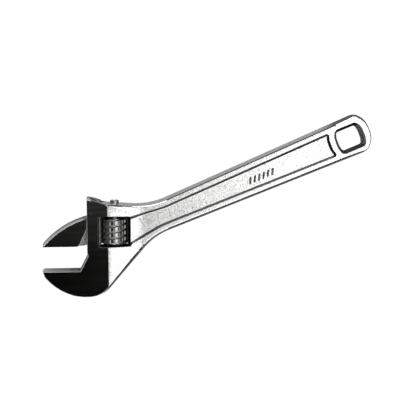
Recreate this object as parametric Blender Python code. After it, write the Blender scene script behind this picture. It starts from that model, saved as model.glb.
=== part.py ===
"""Adjustable wrench, nominal length 250 mm.

The frame's origin is the middle of the fixed jaw's face, halfway through its thickness.
+X runs along the jaw faces towards the handle, +Y is the way the movable jaw opens, and
+Z is square to the broad side, with the forging's parting line at Z = 0.
Sizes are in millimetres and degrees, and meshes are built in metres.
"""

import math

import bmesh
import bpy
from mathutils import Vector

MILLIMETRE = 0.001

# Head and fixed jaw
head_half_thickness = 7.75
jaw_flat_start = -14.5
jaw_flat_end = 12.5
jaw_tip_corner = (-13.1, -4.0)
jaw_tip_radius = 5.0
jaw_back_angle = 50.0
jaw_back_radius = 40.0
jaw_depth = 20.0
heel_radius = 19.0
head_left = 17.3
head_top_left = 53.0
head_top_slope = 17.5
throat_angle = 63.0
throat_radius = 6.0
flat_width = 14.2
top_flat_slope = 4.0
top_bend_radius = 4.0
shoulder_angle = 49.7
heel_corner = 27.8
shoulder_radius = 44.0
top_shoulder_radius = 51.0
head_draft = 0.25

# Handle, measured at the parting line, along and across its own axis
handle_angle = 22.5
handle_axis_offset = 8.4
handle_half_thickness = 5.75
handle_taper_end = 54.5
handle_width_start = 23.4
handle_width_end = 28.4
handle_start = 105.0
handle_end = 239.5
handle_end_height = 7.1
handle_corner_radius = 6.5
handle_end_radius = 17.0
end_arc_half_width = 7.9
handle_draft = 0.3
draft_change_end = 75.0

# Sunk panel on each side of the handle. Its end and the hole are set back from the handle's end
panel_depth = 2.6
rim_width = 3.2
panel_draft = 0.38
panel_set_back = 30.4
panel_end_bow = 1.7
panel_upper_slope = 16.8
panel_lower_slope = 30.4
panel_upper_rise = 1.6
panel_lower_rise = 0.2
panel_bend_radius = 40.0
panel_end_radius = 10.0
panel_corner_radius = 1.4

# Hanging hole, measured at the parting line
hole_set_back = 16.1
hole_drop = 0.6
hole_end_bow = 1.1
hole_half_length = 7.9
hole_half_width = 6.8
hole_end_radius = 10.0
hole_corner_radius = 1.5
hole_draft = 0.43

# Worm, and the window that holds it
worm_middle = 27.75
worm_length = 17.7
worm_radius = 9.1
mesh_depth = 2.0
thread_pitch = 4.2
thread_starts = 2
thread_crest = 1.4
thread_flank = 0.7
worm_chamfer = 0.6
window_left_gap = 0.8
window_right_gap = 1.8
window_draft = 0.213
window_corner_radius = 0.6

# Screw pin and spring
pin_radius = 2.5
pin_seat_depth = 8.5
pin_head_radius = 3.15
pin_head_height = 2.8
pin_head_slot_width = 1.0
pin_head_slot_depth = 1.1
pin_head_sink = 1.3
spring_pocket_radius = 4.3
spring_pocket_depth = 4.2
spring_wire = 0.7
spring_turns = 3.5

# Movable jaw, with heights above its own face
jaw_opening = 17.5
movable_tip = -12.9
movable_tip_height = 3.4
movable_bulge = 2.6
movable_toe = 5.3
movable_toe_width = 2.6
movable_toe_height = 1.3
movable_slant_height = 12.8
movable_height = 21.4
movable_draft = 0.2
neck_thickness = 6.0
neck_top_height = 19.3
neck_low_height = 2.2
neck_rise = 1.2
neck_root_low = 7.0
neck_root_high = 3.0
rail_wall = 1.2
rail_radius = 5.5
rail_sink = 0.5

# Clearances
slide_gap = 0.3
bore_gap = 0.25
end_gap = 0.4
thread_gap = 0.3
seat_gap = 0.3
overshoot = 5.0
margin = 1.0

CHORD_ERROR = 0.05
SMALLEST_TURN = 0.5
SHARP_CORNER = 12.0
ROOM_SHARE = 0.999
TINY = 0.05
SHORTEST_EDGE = 0.3
END_ARC_SHARE = 0.45
ROUND_SIDES = 40
SPRING_POINTS_PER_TURN = 16

handle_corner = handle_end - handle_end_height
panel_end = handle_end - panel_set_back
hole_centre = handle_end - hole_set_back
flat_end = head_left + flat_width
rail_axis = head_left + rail_wall + rail_radius
bore_radius = rail_radius + bore_gap
worm_axis = rail_axis + rail_radius + worm_radius - mesh_depth
worm_thread_depth = mesh_depth + end_gap
worm_low = worm_middle - worm_length / 2
worm_high = worm_middle + worm_length / 2
thread_lead = thread_pitch * thread_starts
window_left = worm_axis - worm_radius - window_left_gap
window_right = worm_axis + worm_radius + window_right_gap
window_low = worm_low - end_gap
window_high = worm_high + end_gap
panel_upper_start = window_high + panel_upper_rise
panel_lower_start = window_low + panel_lower_rise
movable_top = jaw_opening + movable_height
movable_right = head_left - slide_gap
neck_top = jaw_opening + neck_top_height
neck_low = jaw_opening + neck_low_height
closing_travel = jaw_opening - end_gap / 2
pin_low = worm_low - pin_seat_depth


def clear_scene():
    for item in list(bpy.data.objects):
        bpy.data.objects.remove(item, do_unlink=True)


def make_material(name, colour, roughness, metallic):
    material = bpy.data.materials.new(name)
    material.use_nodes = True
    shader = material.node_tree.nodes["Principled BSDF"]
    shader.inputs["Base Color"].default_value = (*colour, 1.0)
    shader.inputs["Roughness"].default_value = roughness
    shader.inputs["Metallic"].default_value = metallic
    return material


def make_object(name, mesh_data, origin=(0.0, 0.0, 0.0)):
    """Turn a bmesh in millimetres into an object whose origin is at the given point."""
    centre = Vector(origin)
    for vertex in mesh_data.verts:
        vertex.co = (vertex.co - centre) * MILLIMETRE
    mesh = bpy.data.meshes.new(name)
    mesh_data.to_mesh(mesh)
    mesh_data.free()
    item = bpy.data.objects.new(name, mesh)
    item.location = centre * MILLIMETRE
    bpy.context.collection.objects.link(item)
    return item


def finish(item, material):
    item.data.materials.append(material)
    item.data.shade_smooth()
    item.data.set_sharp_from_angle(angle=math.radians(30.0))


def boolean(item, tool, operation):
    """Cut or join with another object, which stays in the file as a guide."""
    modifier = item.modifiers.new(tool.name, "BOOLEAN")
    modifier.operation = operation
    modifier.solver = "EXACT"
    modifier.object = tool
    tool.hide_render = True
    tool.display_type = "WIRE"


def corner_reaches(corners):
    """How far each corner's arc reaches along its edges, so that no two arcs overlap."""
    count = len(corners)
    places = [Vector(corner[:2]) for corner in corners]
    turns = []
    for index, here in enumerate(places):
        back = (places[index - 1] - here).normalized()
        ahead = (places[(index + 1) % count] - here).normalized()
        turns.append(math.pi - back.angle(ahead))
    wanted = [corner[2] * math.tan(turn / 2) for corner, turn in zip(corners, turns)]
    reaches = list(wanted)
    for index, here in enumerate(places):
        after = (index + 1) % count
        room = (places[after] - here).length * ROOM_SHARE
        needed = wanted[index] + wanted[after]
        if needed > room:
            reaches[index] = min(reaches[index], wanted[index] * room / needed)
            reaches[after] = min(reaches[after], wanted[after] * room / needed)
    return places, turns, reaches


def fillet(corners):
    """Round the corners of a closed outline. Each corner is (x, y, radius)."""
    outline = []
    places, turns, reaches = corner_reaches(corners)
    count = len(corners)
    for index, here in enumerate(places):
        turn, reach = turns[index], reaches[index]
        if reach <= 0.0 or turn < math.radians(SMALLEST_TURN):
            outline.append(here)
            continue
        back = (places[index - 1] - here).normalized()
        ahead = (places[(index + 1) % count] - here).normalized()
        radius = reach / math.tan(turn / 2)
        centre = here + (back + ahead).normalized() * radius / math.cos(turn / 2)
        first = here + back * reach - centre
        sign = 1.0 if back.cross(ahead) < 0.0 else -1.0
        step_angle = 2 * math.acos(max(0.0, 1.0 - CHORD_ERROR / radius))
        steps = max(1, math.ceil(turn / step_angle))
        for step in range(steps + 1):
            angle = sign * turn * step / steps
            swing = Vector((first.x * math.cos(angle) - first.y * math.sin(angle),
                            first.x * math.sin(angle) + first.y * math.cos(angle)))
            outline.append(centre + swing)
    return [point for index, point in enumerate(outline)
            if (point - outline[index - 1]).length > SHORTEST_EDGE]


def grow(outline, distance):
    """Move an anticlockwise outline outwards. distance(middle, direction) is each edge's own."""
    moved = []
    count = len(outline)
    for index, here in enumerate(outline):
        before = outline[index - 1]
        after = outline[(index + 1) % count]
        edge_in = (here - before).normalized()
        edge_out = (after - here).normalized()
        normal_in = Vector((edge_in.y, -edge_in.x))
        normal_out = Vector((edge_out.y, -edge_out.x))
        shift_in = distance((here + before) / 2, edge_in)
        shift_out = distance((here + after) / 2, edge_out)
        turn = edge_in.cross(edge_out)
        if abs(turn) < math.sin(math.radians(SHARP_CORNER)):
            normal = (normal_in + normal_out).normalized()
            move = normal * (shift_in + shift_out) / 2
        else:
            move = (edge_in * shift_out - edge_out * shift_in) / turn
        moved.append(here + move)
    return moved


def loft(rings):
    """Skin a stack of (outline, height) rings, lowest first, and close both ends."""
    mesh = bmesh.new()
    rows = [[mesh.verts.new((point.x, point.y, height)) for point in outline]
            for outline, height in rings]
    count = len(rows[0])
    for low, high in zip(rows, rows[1:]):
        for index in range(count):
            after = (index + 1) % count
            mesh.faces.new((low[index], low[after], high[after], high[index]))
    mesh.faces.new(tuple(reversed(rows[0])))
    mesh.faces.new(tuple(rows[-1]))
    return mesh


def prism(outline, low, high):
    return loft([(outline, low), (outline, high)])


def turned(profile, axis_x, sides=ROUND_SIDES):
    """Turn (radius, y) points, lowest y first, about the line x = axis_x, z = 0."""
    mesh = bmesh.new()
    rows = []
    for radius, height in profile:
        row = []
        for side in range(sides):
            angle = 2 * math.pi * side / sides
            row.append(mesh.verts.new((axis_x + radius * math.sin(angle), height,
                                       radius * math.cos(angle))))
        rows.append(row)
    for low, high in zip(rows, rows[1:]):
        for side in range(sides):
            after = (side + 1) % sides
            mesh.faces.new((low[side], low[after], high[after], high[side]))
    mesh.faces.new(tuple(reversed(rows[0])))
    mesh.faces.new(tuple(rows[-1]))
    return mesh


def on_handle(along, across):
    """Point at a distance along the handle and across from its axis."""
    angle = math.radians(handle_angle)
    side = across + handle_axis_offset
    return (along * math.cos(angle) - side * math.sin(angle),
            along * math.sin(angle) + side * math.cos(angle))


def handle_half_width(along):
    """Half the handle's width at its parting line, which grows evenly towards the end."""
    share = (along - handle_start) / (handle_corner - handle_start)
    return (handle_width_start + (handle_width_end - handle_width_start) * share) / 2


def meet(start, slope, other, other_slope):
    """Point where two lines meet, each given by a point and an angle in degrees."""
    first = Vector((math.cos(math.radians(slope)), math.sin(math.radians(slope))))
    second = Vector((math.cos(math.radians(other_slope)), math.sin(math.radians(other_slope))))
    gap = Vector(other) - Vector(start)
    return Vector(start) + first * (gap.cross(second) / first.cross(second))


def handle_edge(side, inset=0.0):
    """A point and an angle that give the handle's upper (1) or lower (-1) edge."""
    low = on_handle(handle_start, side * (handle_half_width(handle_start) - inset))
    high = on_handle(handle_corner, side * (handle_half_width(handle_corner) - inset))
    slope = math.degrees(math.atan2(high[1] - low[1], high[0] - low[0]))
    return low, slope


def head_top(x):
    """Height of the head's top edge at the parting line."""
    slant = math.tan(math.radians(head_top_slope))
    if x < flat_end:
        return head_top_left - (x - head_left) * slant
    past = x - flat_end
    return head_top_left - flat_width * slant - past * math.tan(math.radians(top_flat_slope))


def body_outline():
    """The forging's outline at its parting line, anticlockwise from the jaw's tip."""
    tip_x, tip_y = jaw_tip_corner
    jaw_corner = tip_x + (jaw_depth + tip_y) / math.tan(math.radians(jaw_back_angle))
    lower, lower_slope = handle_edge(-1)
    upper, upper_slope = handle_edge(1)
    shoulder = meet((heel_corner, -jaw_depth), shoulder_angle, lower, lower_slope)
    bend = (flat_end, head_top(flat_end))
    top_shoulder = meet(bend, -top_flat_slope, upper, upper_slope)
    throat_top = (head_left - jaw_flat_end) * math.tan(math.radians(throat_angle))
    wide = handle_half_width(handle_corner)
    corners = [
        (jaw_flat_start, 0.0, 0.0),
        (tip_x, tip_y, jaw_tip_radius),
        (jaw_corner, -jaw_depth, jaw_back_radius),
        (heel_corner, -jaw_depth, heel_radius),
        (*shoulder, shoulder_radius),
        (*on_handle(handle_corner, -wide), handle_corner_radius),
        (*on_handle(handle_end, -end_arc_half_width), handle_end_radius),
        (*on_handle(handle_end, end_arc_half_width), handle_end_radius),
        (*on_handle(handle_corner, wide), handle_corner_radius),
        (*top_shoulder, top_shoulder_radius),
        (*bend, top_bend_radius),
        (head_left, head_top_left, 0.0),
        (head_left, throat_top, throat_radius),
        (jaw_flat_end, 0.0, 0.0),
    ]
    return fillet(corners)


def side_draft(middle, edge):
    """Draft of the forging's side. The jaw face, throat and head's left side have none."""
    on_jaw_face = abs(middle.y) < TINY
    on_left_side = middle.y > 0.0 and middle.x < head_left + TINY
    if on_jaw_face or on_left_side:
        return 0.0
    share = (middle.x - flat_end) / (draft_change_end - flat_end)
    share = min(1.0, max(0.0, share))
    return head_draft + (handle_draft - head_draft) * share


def drafted(outline, draft, height, outwards=False):
    """A prism whose sides lean from its middle: inwards, or outwards for a cutter."""
    sign = 1.0 if outwards else -1.0
    face = grow(outline, lambda middle, edge: sign * draft(middle, edge) * height)
    return loft([(face, -height), (outline, 0.0), (face, height)])


def thickness_guide():
    """Side profile of the whole forging: a flat head, a slope, then a flat handle."""
    left = jaw_flat_start - overshoot
    right = handle_end + overshoot
    half = [(left, head_half_thickness), (flat_end, head_half_thickness),
            (handle_taper_end, handle_half_thickness), (right, handle_half_thickness)]
    profile = half + [(x, -z) for x, z in reversed(half)]
    mesh = bmesh.new()
    near = [mesh.verts.new((x, -jaw_depth - overshoot, z)) for x, z in profile]
    far = [mesh.verts.new((x, handle_end, z)) for x, z in profile]
    count = len(profile)
    for index in range(count):
        after = (index + 1) % count
        mesh.faces.new((near[after], near[index], far[index], far[after]))
    mesh.faces.new(tuple(near))
    mesh.faces.new(tuple(reversed(far)))
    bmesh.ops.recalc_face_normals(mesh, faces=mesh.faces)
    return make_object("guide_thickness", mesh)


def panel_outline():
    """Outline of the sunk panel at the handle's surface, open towards the window."""
    inset = rim_width + handle_draft * handle_half_thickness
    upper, upper_slope = handle_edge(1, inset)
    lower, lower_slope = handle_edge(-1, inset)
    mouth = window_right + window_draft * handle_half_thickness
    top_bend = meet((mouth, panel_upper_start), panel_upper_slope, upper, upper_slope)
    low_bend = meet((mouth, panel_lower_start), panel_lower_slope, lower, lower_slope)
    end_half = handle_half_width(panel_end) - inset
    corner = panel_end + panel_end_bow
    return fillet([
        (mouth, panel_lower_start, 0.0),
        (*low_bend, panel_bend_radius),
        (*on_handle(corner, -end_half), panel_corner_radius),
        (*on_handle(panel_end, -end_half * END_ARC_SHARE), panel_end_radius),
        (*on_handle(panel_end, end_half * END_ARC_SHARE), panel_end_radius),
        (*on_handle(corner, end_half), panel_corner_radius),
        (*top_bend, panel_bend_radius),
        (mouth, panel_upper_start, 0.0),
        (mouth - window_right_gap, panel_upper_start - margin, 0.0),
        (mouth - window_right_gap, panel_lower_start + margin, 0.0),
    ])


def panel_tool(side):
    """Cutter for one sunk panel, on the front (1) or the back (-1)."""
    outline = panel_outline()
    floor = handle_half_thickness - panel_depth
    top = head_half_thickness + overshoot
    rings = []
    for height in (floor, handle_half_thickness, top):
        lean = (height - handle_half_thickness) * panel_draft
        rings.append((grow(outline, lambda middle, edge: lean), side * height))
    if side < 0:
        rings.reverse()
    return make_object("cut_panel_front" if side > 0 else "cut_panel_back", loft(rings))


def window_tool():
    radius = window_corner_radius
    outline = fillet([(window_left, window_low, radius), (window_right, window_low, radius),
                      (window_right, window_high, radius), (window_left, window_high, radius)])
    mesh = drafted(outline, lambda middle, edge: window_draft,
                   head_half_thickness + overshoot, outwards=True)
    return make_object("cut_window", mesh)


def hole_outline():
    length = hole_half_length
    width = hole_half_width
    flat = length - hole_end_bow
    middle = width * END_ARC_SHARE
    points = [(-length, -middle, hole_end_radius), (-flat, -width, hole_corner_radius),
              (flat, -width, hole_corner_radius), (length, -middle, hole_end_radius),
              (length, middle, hole_end_radius), (flat, width, hole_corner_radius),
              (-flat, width, hole_corner_radius), (-length, middle, hole_end_radius)]
    return fillet([(*on_handle(hole_centre + along, across - hole_drop), radius)
                   for along, across, radius in points])


def hole_tool():
    mesh = drafted(hole_outline(), lambda middle, edge: hole_draft,
                   handle_half_thickness + overshoot, outwards=True)
    return make_object("cut_hanging_hole", mesh)


def bore_floor():
    """Lowest point of the rail's bore, just below the rail when the jaws are closed."""
    return neck_low - closing_travel - end_gap


def bore_tool():
    profile = [(bore_radius, bore_floor()), (bore_radius, head_top_left + overshoot)]
    return make_object("cut_rail_bore", turned(profile, rail_axis))


def slot_tool():
    """Slot through the head's left side that the movable jaw's neck slides in."""
    half = neck_thickness / 2 + slide_gap
    low = bore_floor() - neck_rise
    high = head_top_left + overshoot
    left = jaw_flat_end - overshoot
    outline = [Vector((left, low)), Vector((rail_axis, low)),
               Vector((rail_axis, high)), Vector((left, high))]
    return make_object("cut_neck_slot", prism(outline, -half, half))


def pin_seat():
    return head_top(worm_axis) - pin_head_sink


def pin_hole_tool():
    """Hole for the screw pin, with a flat seat for its head at the top."""
    profile = [(pin_radius + slide_gap, pin_low - end_gap), (pin_radius + slide_gap, pin_seat()),
               (pin_head_radius + slide_gap, pin_seat()),
               (pin_head_radius + slide_gap, head_top_left + overshoot)]
    return make_object("cut_pin_hole", turned(profile, worm_axis))


def make_body(material):
    forging = drafted(body_outline(), side_draft, head_half_thickness + margin)
    item = make_object("body", forging)
    boolean(item, thickness_guide(), "INTERSECT")
    tools = [panel_tool(1), panel_tool(-1), window_tool(), hole_tool(), bore_tool(),
             slot_tool(), pin_hole_tool()]
    for tool in tools:
        boolean(item, tool, "DIFFERENCE")
    finish(item, material)


def movable_outline():
    """Outline of the movable jaw at its parting line, anticlockwise from its tip."""
    toe = movable_right - movable_toe
    tip_high = jaw_opening + movable_tip_height
    back = arc_between((movable_right, movable_top), (movable_tip, tip_high), movable_bulge)
    return [Vector((movable_tip, jaw_opening)),
            Vector((toe - movable_toe_width, jaw_opening)),
            Vector((toe, jaw_opening + movable_toe_height)),
            Vector((movable_right, jaw_opening + movable_slant_height))] + back


def arc_between(start, end, bulge):
    """Points of an arc from start to end that rises by bulge to the right of the line."""
    first, last = Vector(start), Vector(end)
    chord = last - first
    half = chord.length / 2
    radius = (half * half + bulge * bulge) / (2 * bulge)
    normal = Vector((chord.y, -chord.x)).normalized()
    centre = (first + last) / 2 + normal * (bulge - radius)
    opening = 2 * math.asin(half / radius)
    steps = math.ceil(opening / (2 * math.acos(1.0 - CHORD_ERROR / radius)))
    spoke = first - centre
    points = []
    for step in range(steps + 1):
        angle = opening * step / steps
        points.append(centre + Vector((spoke.x * math.cos(angle) - spoke.y * math.sin(angle),
                                       spoke.x * math.sin(angle) + spoke.y * math.cos(angle))))
    return points


def movable_side_draft(middle, edge):
    """Only the back of the movable jaw leans. Its jaw face and sliding side are square."""
    square = middle.x > movable_right - TINY or edge.x > -TINY
    return 0.0 if square else movable_draft


def neck_guide():
    """Flat web that joins the jaw to its rail."""
    outline = [Vector((head_left - neck_root_low, neck_low - neck_rise)),
               Vector((movable_right, neck_low)),
               Vector((rail_axis, neck_low)), Vector((rail_axis, neck_top)),
               Vector((head_left - neck_root_high, neck_top))]
    return make_object("guide_neck", prism(outline, -neck_thickness / 2, neck_thickness / 2))


def rail_guide():
    """Round rail whose top is cut to the slope of the head, a little below it."""
    mesh = turned([(rail_radius, neck_low), (rail_radius, head_top_left)], rail_axis)
    for vertex in mesh.verts:
        if vertex.co.y > neck_low + TINY:
            vertex.co.y = head_top(vertex.co.x) - rail_sink
    return make_object("guide_rail", mesh)


def rack_tool():
    """Row of slanting grooves in the rail, one for each thread of the worm beside it."""
    slope = thread_lead / (2 * math.pi * (worm_radius - worm_thread_depth / 4))
    floor = worm_axis - worm_radius - thread_gap
    surface = rail_axis + rail_radius + margin
    depth = surface - floor
    narrow = thread_crest / 2 + thread_gap
    wide = narrow + thread_flank * depth / worm_thread_depth
    half = rail_radius + margin
    mesh = bmesh.new()
    first = math.ceil((neck_low - wide - worm_middle) / thread_pitch)
    last = math.floor((head_top(rail_axis + rail_radius) + wide - worm_middle) / thread_pitch)
    for turn in range(first, last + 1):
        middle = worm_middle + turn * thread_pitch
        ring = []
        for z in (-half, half):
            lift = middle + z * slope
            ring.append([mesh.verts.new((x, lift + y, z)) for x, y in
                         ((floor, -narrow), (surface, -wide), (surface, wide), (floor, narrow))])
        back, front = ring
        for index in range(4):
            after = (index + 1) % 4
            mesh.faces.new((back[index], back[after], front[after], front[index]))
        mesh.faces.new(tuple(reversed(back)))
        mesh.faces.new(tuple(front))
    return make_object("cut_rack", mesh)


def make_movable_jaw(material):
    jaw = drafted(movable_outline(), movable_side_draft, head_half_thickness)
    item = make_object("movable_jaw", jaw)
    boolean(item, neck_guide(), "UNION")
    boolean(item, rail_guide(), "UNION")
    boolean(item, rack_tool(), "DIFFERENCE")
    finish(item, material)


def thread_blank():
    """Threaded bar longer than the worm, with a groove facing each tooth of the rack."""
    columns = ROUND_SIDES
    groove = thread_pitch - thread_crest - 2 * thread_flank
    root = worm_radius - worm_thread_depth
    crest = worm_radius + margin
    flank = thread_flank * (crest - root) / worm_thread_depth
    tip = thread_pitch - groove - 2 * flank
    turn_points = [(crest, -tip / 2), (crest, tip / 2), (root, tip / 2 + flank),
                   (root, tip / 2 + flank + groove)]
    facing = -thread_lead * 3 / 4
    turns = math.ceil((worm_length / 2 + 3 * thread_lead) / thread_pitch)
    rows = []
    for turn in range(-turns, turns):
        inner = -turns + thread_starts <= turn < turns - thread_starts
        for radius, rise in turn_points:
            rows.append((radius if inner else root, turn * thread_pitch + rise))
    mesh = bmesh.new()
    grid = []
    for column in range(columns):
        angle = 2 * math.pi * column / columns
        rise = worm_middle + thread_lead * column / columns + facing
        grid.append([mesh.verts.new((worm_axis + radius * math.sin(angle), height + rise,
                                     radius * math.cos(angle))) for radius, height in rows])
    shift = thread_starts * len(turn_points)
    for column in range(columns):
        last = column == columns - 1
        after = grid[(column + 1) % columns]
        step = shift if last else 0
        for row in range(len(rows) - 1 - step):
            mesh.faces.new((grid[column][row], after[row + step], after[row + 1 + step],
                            grid[column][row + 1]))
    low_loop = [grid[column][0] for column in range(columns)]
    low_loop += [grid[0][row] for row in range(shift, 0, -1)]
    high_loop = [grid[column][-1] for column in range(columns)]
    high_loop += [grid[-1][row] for row in range(len(rows) - 2, len(rows) - 2 - shift, -1)]
    low_end = mesh.verts.new((worm_axis, low_loop[0].co.y - thread_lead, 0.0))
    high_end = mesh.verts.new((worm_axis, high_loop[-1].co.y + 2 * thread_lead, 0.0))
    for index, here in enumerate(low_loop):
        mesh.faces.new((low_end, low_loop[(index + 1) % len(low_loop)], here))
    for index, here in enumerate(high_loop):
        mesh.faces.new((high_end, here, high_loop[(index + 1) % len(high_loop)]))
    return mesh


def worm_shape():
    """Plain bar with chamfered ends that the thread is trimmed to."""
    end_radius = worm_radius - worm_chamfer
    mesh = turned([(end_radius, worm_low), (worm_radius, worm_low + worm_chamfer),
                   (worm_radius, worm_high - worm_chamfer), (end_radius, worm_high)], worm_axis)
    return make_object("guide_worm", mesh)


def worm_hole_tool():
    """Hole through the worm for its pin, with a pocket for the spring at the lower end."""
    radius = pin_radius + slide_gap
    pocket = worm_low + spring_pocket_depth
    mesh = turned([(spring_pocket_radius, worm_low - overshoot), (spring_pocket_radius, pocket),
                   (radius, pocket), (radius, worm_high + overshoot)], worm_axis)
    return make_object("cut_worm_hole", mesh)


def make_worm(material):
    item = make_object("worm", thread_blank(), origin=(worm_axis, worm_middle, 0.0))
    boolean(item, worm_shape(), "INTERSECT")
    boolean(item, worm_hole_tool(), "DIFFERENCE")
    finish(item, material)


def make_worm_pin(material):
    """Screw pin: a shaft through the worm into the window's lower wall, and a slotted head."""
    seat = pin_seat() + seat_gap
    top = seat + pin_head_height
    mesh = turned([(pin_radius, pin_low), (pin_radius, seat), (pin_head_radius, seat),
                   (pin_head_radius, top)], worm_axis)
    item = make_object("worm_pin", mesh)
    half = pin_head_slot_width / 2
    reach = pin_head_radius + margin
    left, right = worm_axis - half, worm_axis + half
    outline = [Vector((left, top - pin_head_slot_depth)),
               Vector((right, top - pin_head_slot_depth)),
               Vector((right, top + margin)), Vector((left, top + margin))]
    boolean(item, make_object("cut_pin_slot", prism(outline, -reach, reach)), "DIFFERENCE")
    finish(item, material)


def make_worm_spring(material):
    """Small spring round the pin, between the window's lower wall and the worm's pocket."""
    mean = (pin_radius + spring_pocket_radius) / 2
    low = window_low + seat_gap + spring_wire / 2
    high = worm_low + spring_pocket_depth - seat_gap - spring_wire / 2
    curve = bpy.data.curves.new("worm_spring", "CURVE")
    curve.dimensions = "3D"
    curve.bevel_depth = spring_wire / 2 * MILLIMETRE
    curve.bevel_resolution = 1
    curve.use_fill_caps = True
    steps = round(spring_turns * SPRING_POINTS_PER_TURN)
    spline = curve.splines.new("POLY")
    spline.points.add(steps)
    for step, point in enumerate(spline.points):
        angle = 2 * math.pi * spring_turns * step / steps
        place = (mean * math.sin(angle), low + (high - low) * step / steps, mean * math.cos(angle))
        point.co = (*(value * MILLIMETRE for value in place), 1.0)
    item = bpy.data.objects.new("worm_spring", curve)
    item.location = (worm_axis * MILLIMETRE, 0.0, 0.0)
    bpy.context.collection.objects.link(item)
    curve.materials.append(material)


def main():
    clear_scene()
    chrome = make_material("chrome_plate", (0.78, 0.79, 0.80), 0.22, 1.0)
    dark_steel = make_material("knurled_steel", (0.62, 0.63, 0.65), 0.3, 1.0)
    spring_steel = make_material("spring_steel", (0.45, 0.45, 0.46), 0.35, 1.0)
    make_body(chrome)
    make_movable_jaw(chrome)
    make_worm(dark_steel)
    make_worm_pin(dark_steel)
    make_worm_spring(spring_steel)


main()
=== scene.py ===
import math

import bmesh
import bpy
from mathutils import Matrix, Vector
from mathutils.kdtree import KDTree


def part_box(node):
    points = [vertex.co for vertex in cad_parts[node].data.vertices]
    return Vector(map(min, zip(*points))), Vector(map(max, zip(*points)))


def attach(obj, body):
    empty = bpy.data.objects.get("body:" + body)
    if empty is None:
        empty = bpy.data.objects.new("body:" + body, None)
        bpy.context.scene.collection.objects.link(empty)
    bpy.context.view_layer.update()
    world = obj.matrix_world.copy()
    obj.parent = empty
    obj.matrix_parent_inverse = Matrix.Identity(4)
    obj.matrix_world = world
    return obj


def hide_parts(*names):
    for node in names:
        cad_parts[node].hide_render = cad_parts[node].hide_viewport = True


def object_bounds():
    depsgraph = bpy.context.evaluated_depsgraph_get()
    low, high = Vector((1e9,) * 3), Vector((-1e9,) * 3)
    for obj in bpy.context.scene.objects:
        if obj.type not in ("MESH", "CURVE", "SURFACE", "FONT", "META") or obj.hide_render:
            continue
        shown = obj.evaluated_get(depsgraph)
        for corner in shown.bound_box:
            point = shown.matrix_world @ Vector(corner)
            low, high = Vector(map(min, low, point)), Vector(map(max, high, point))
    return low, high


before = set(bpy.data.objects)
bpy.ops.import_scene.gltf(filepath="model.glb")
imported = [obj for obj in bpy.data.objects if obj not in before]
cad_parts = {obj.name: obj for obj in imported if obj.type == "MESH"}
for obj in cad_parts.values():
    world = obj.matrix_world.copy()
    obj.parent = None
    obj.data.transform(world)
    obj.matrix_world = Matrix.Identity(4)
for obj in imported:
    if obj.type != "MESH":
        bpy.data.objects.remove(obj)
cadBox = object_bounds()
print("frame loaded:", ", ".join(sorted(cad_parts)))

mm = 0.001
fullTurn = 2 * math.pi
arcError = 0.015  # mm that an arc's straight steps may stand off the true arc
longestStep = 4.0  # mm between points along a straight edge
overlap = 5.0  # mm that a cutter reaches past what it cuts
touching = 0.05  # mm within which a point counts as on a line


def nodeMiddle(node):
    low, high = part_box(node)
    return (low + high) / 2 / mm


def mixed(first, second, share):
    # first at share 0, second at share 1, and no further either way
    share = min(1.0, max(0.0, share))
    return first * (1 - share) + second * share


def crowned(share):
    # how much of its lean a bowed side has taken, from the parting line to the broad side
    return 0.5 * share + 0.5 * share * share


def cornerReaches(corners):
    # how far each corner's arc runs along its edges, kept short of its neighbours' arcs
    places = [Vector(corner[:2]) for corner in corners]
    turns = []
    for index, here in enumerate(places):
        back = (places[index - 1] - here).normalized()
        ahead = (places[(index + 1) % len(places)] - here).normalized()
        turns.append(math.pi - back.angle(ahead))
    wanted = [corner[2] * math.tan(turn / 2) for corner, turn in zip(corners, turns)]
    reaches = list(wanted)
    for index, here in enumerate(places):
        after = (index + 1) % len(places)
        room = (places[after] - here).length * 0.999
        needed = wanted[index] + wanted[after]
        if needed > room:
            reaches[index] = min(reaches[index], wanted[index] * room / needed)
            reaches[after] = min(reaches[after], wanted[after] * room / needed)
    return places, turns, reaches


def roundedOutline(corners):
    # closed outline through (x, y, radius) corners, with arcs for the corners
    outline = []
    places, turns, reaches = cornerReaches(corners)
    for index, here in enumerate(places):
        turn, reach = turns[index], reaches[index]
        if reach <= 0.0 or turn < 0.01:
            outline.append(here)
            continue
        back = (places[index - 1] - here).normalized()
        ahead = (places[(index + 1) % len(places)] - here).normalized()
        radius = reach / math.tan(turn / 2)
        centre = here + (back + ahead).normalized() * radius / math.cos(turn / 2)
        first = here + back * reach - centre
        sign = 1.0 if back.cross(ahead) < 0.0 else -1.0
        stepAngle = 2 * math.acos(max(0.0, 1.0 - arcError / radius))
        steps = max(2, math.ceil(turn / stepAngle))
        for step in range(steps + 1):
            outline.append(centre + turned(first, sign * turn * step / steps))
    return spaced(outline)


def turned(point, angle):
    cosine, sine = math.cos(angle), math.sin(angle)
    return Vector((point.x * cosine - point.y * sine, point.x * sine + point.y * cosine))


def spaced(outline, shortest=0.1):
    # drops steps that are too short and splits those that are too long
    kept = [point for index, point in enumerate(outline)
            if (point - outline[index - 1]).length > shortest]
    points = []
    for index, here in enumerate(kept):
        after = kept[(index + 1) % len(kept)]
        parts = max(1, math.ceil((after - here).length / longestStep))
        points += [here.lerp(after, part / parts) for part in range(parts)]
    return points


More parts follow.
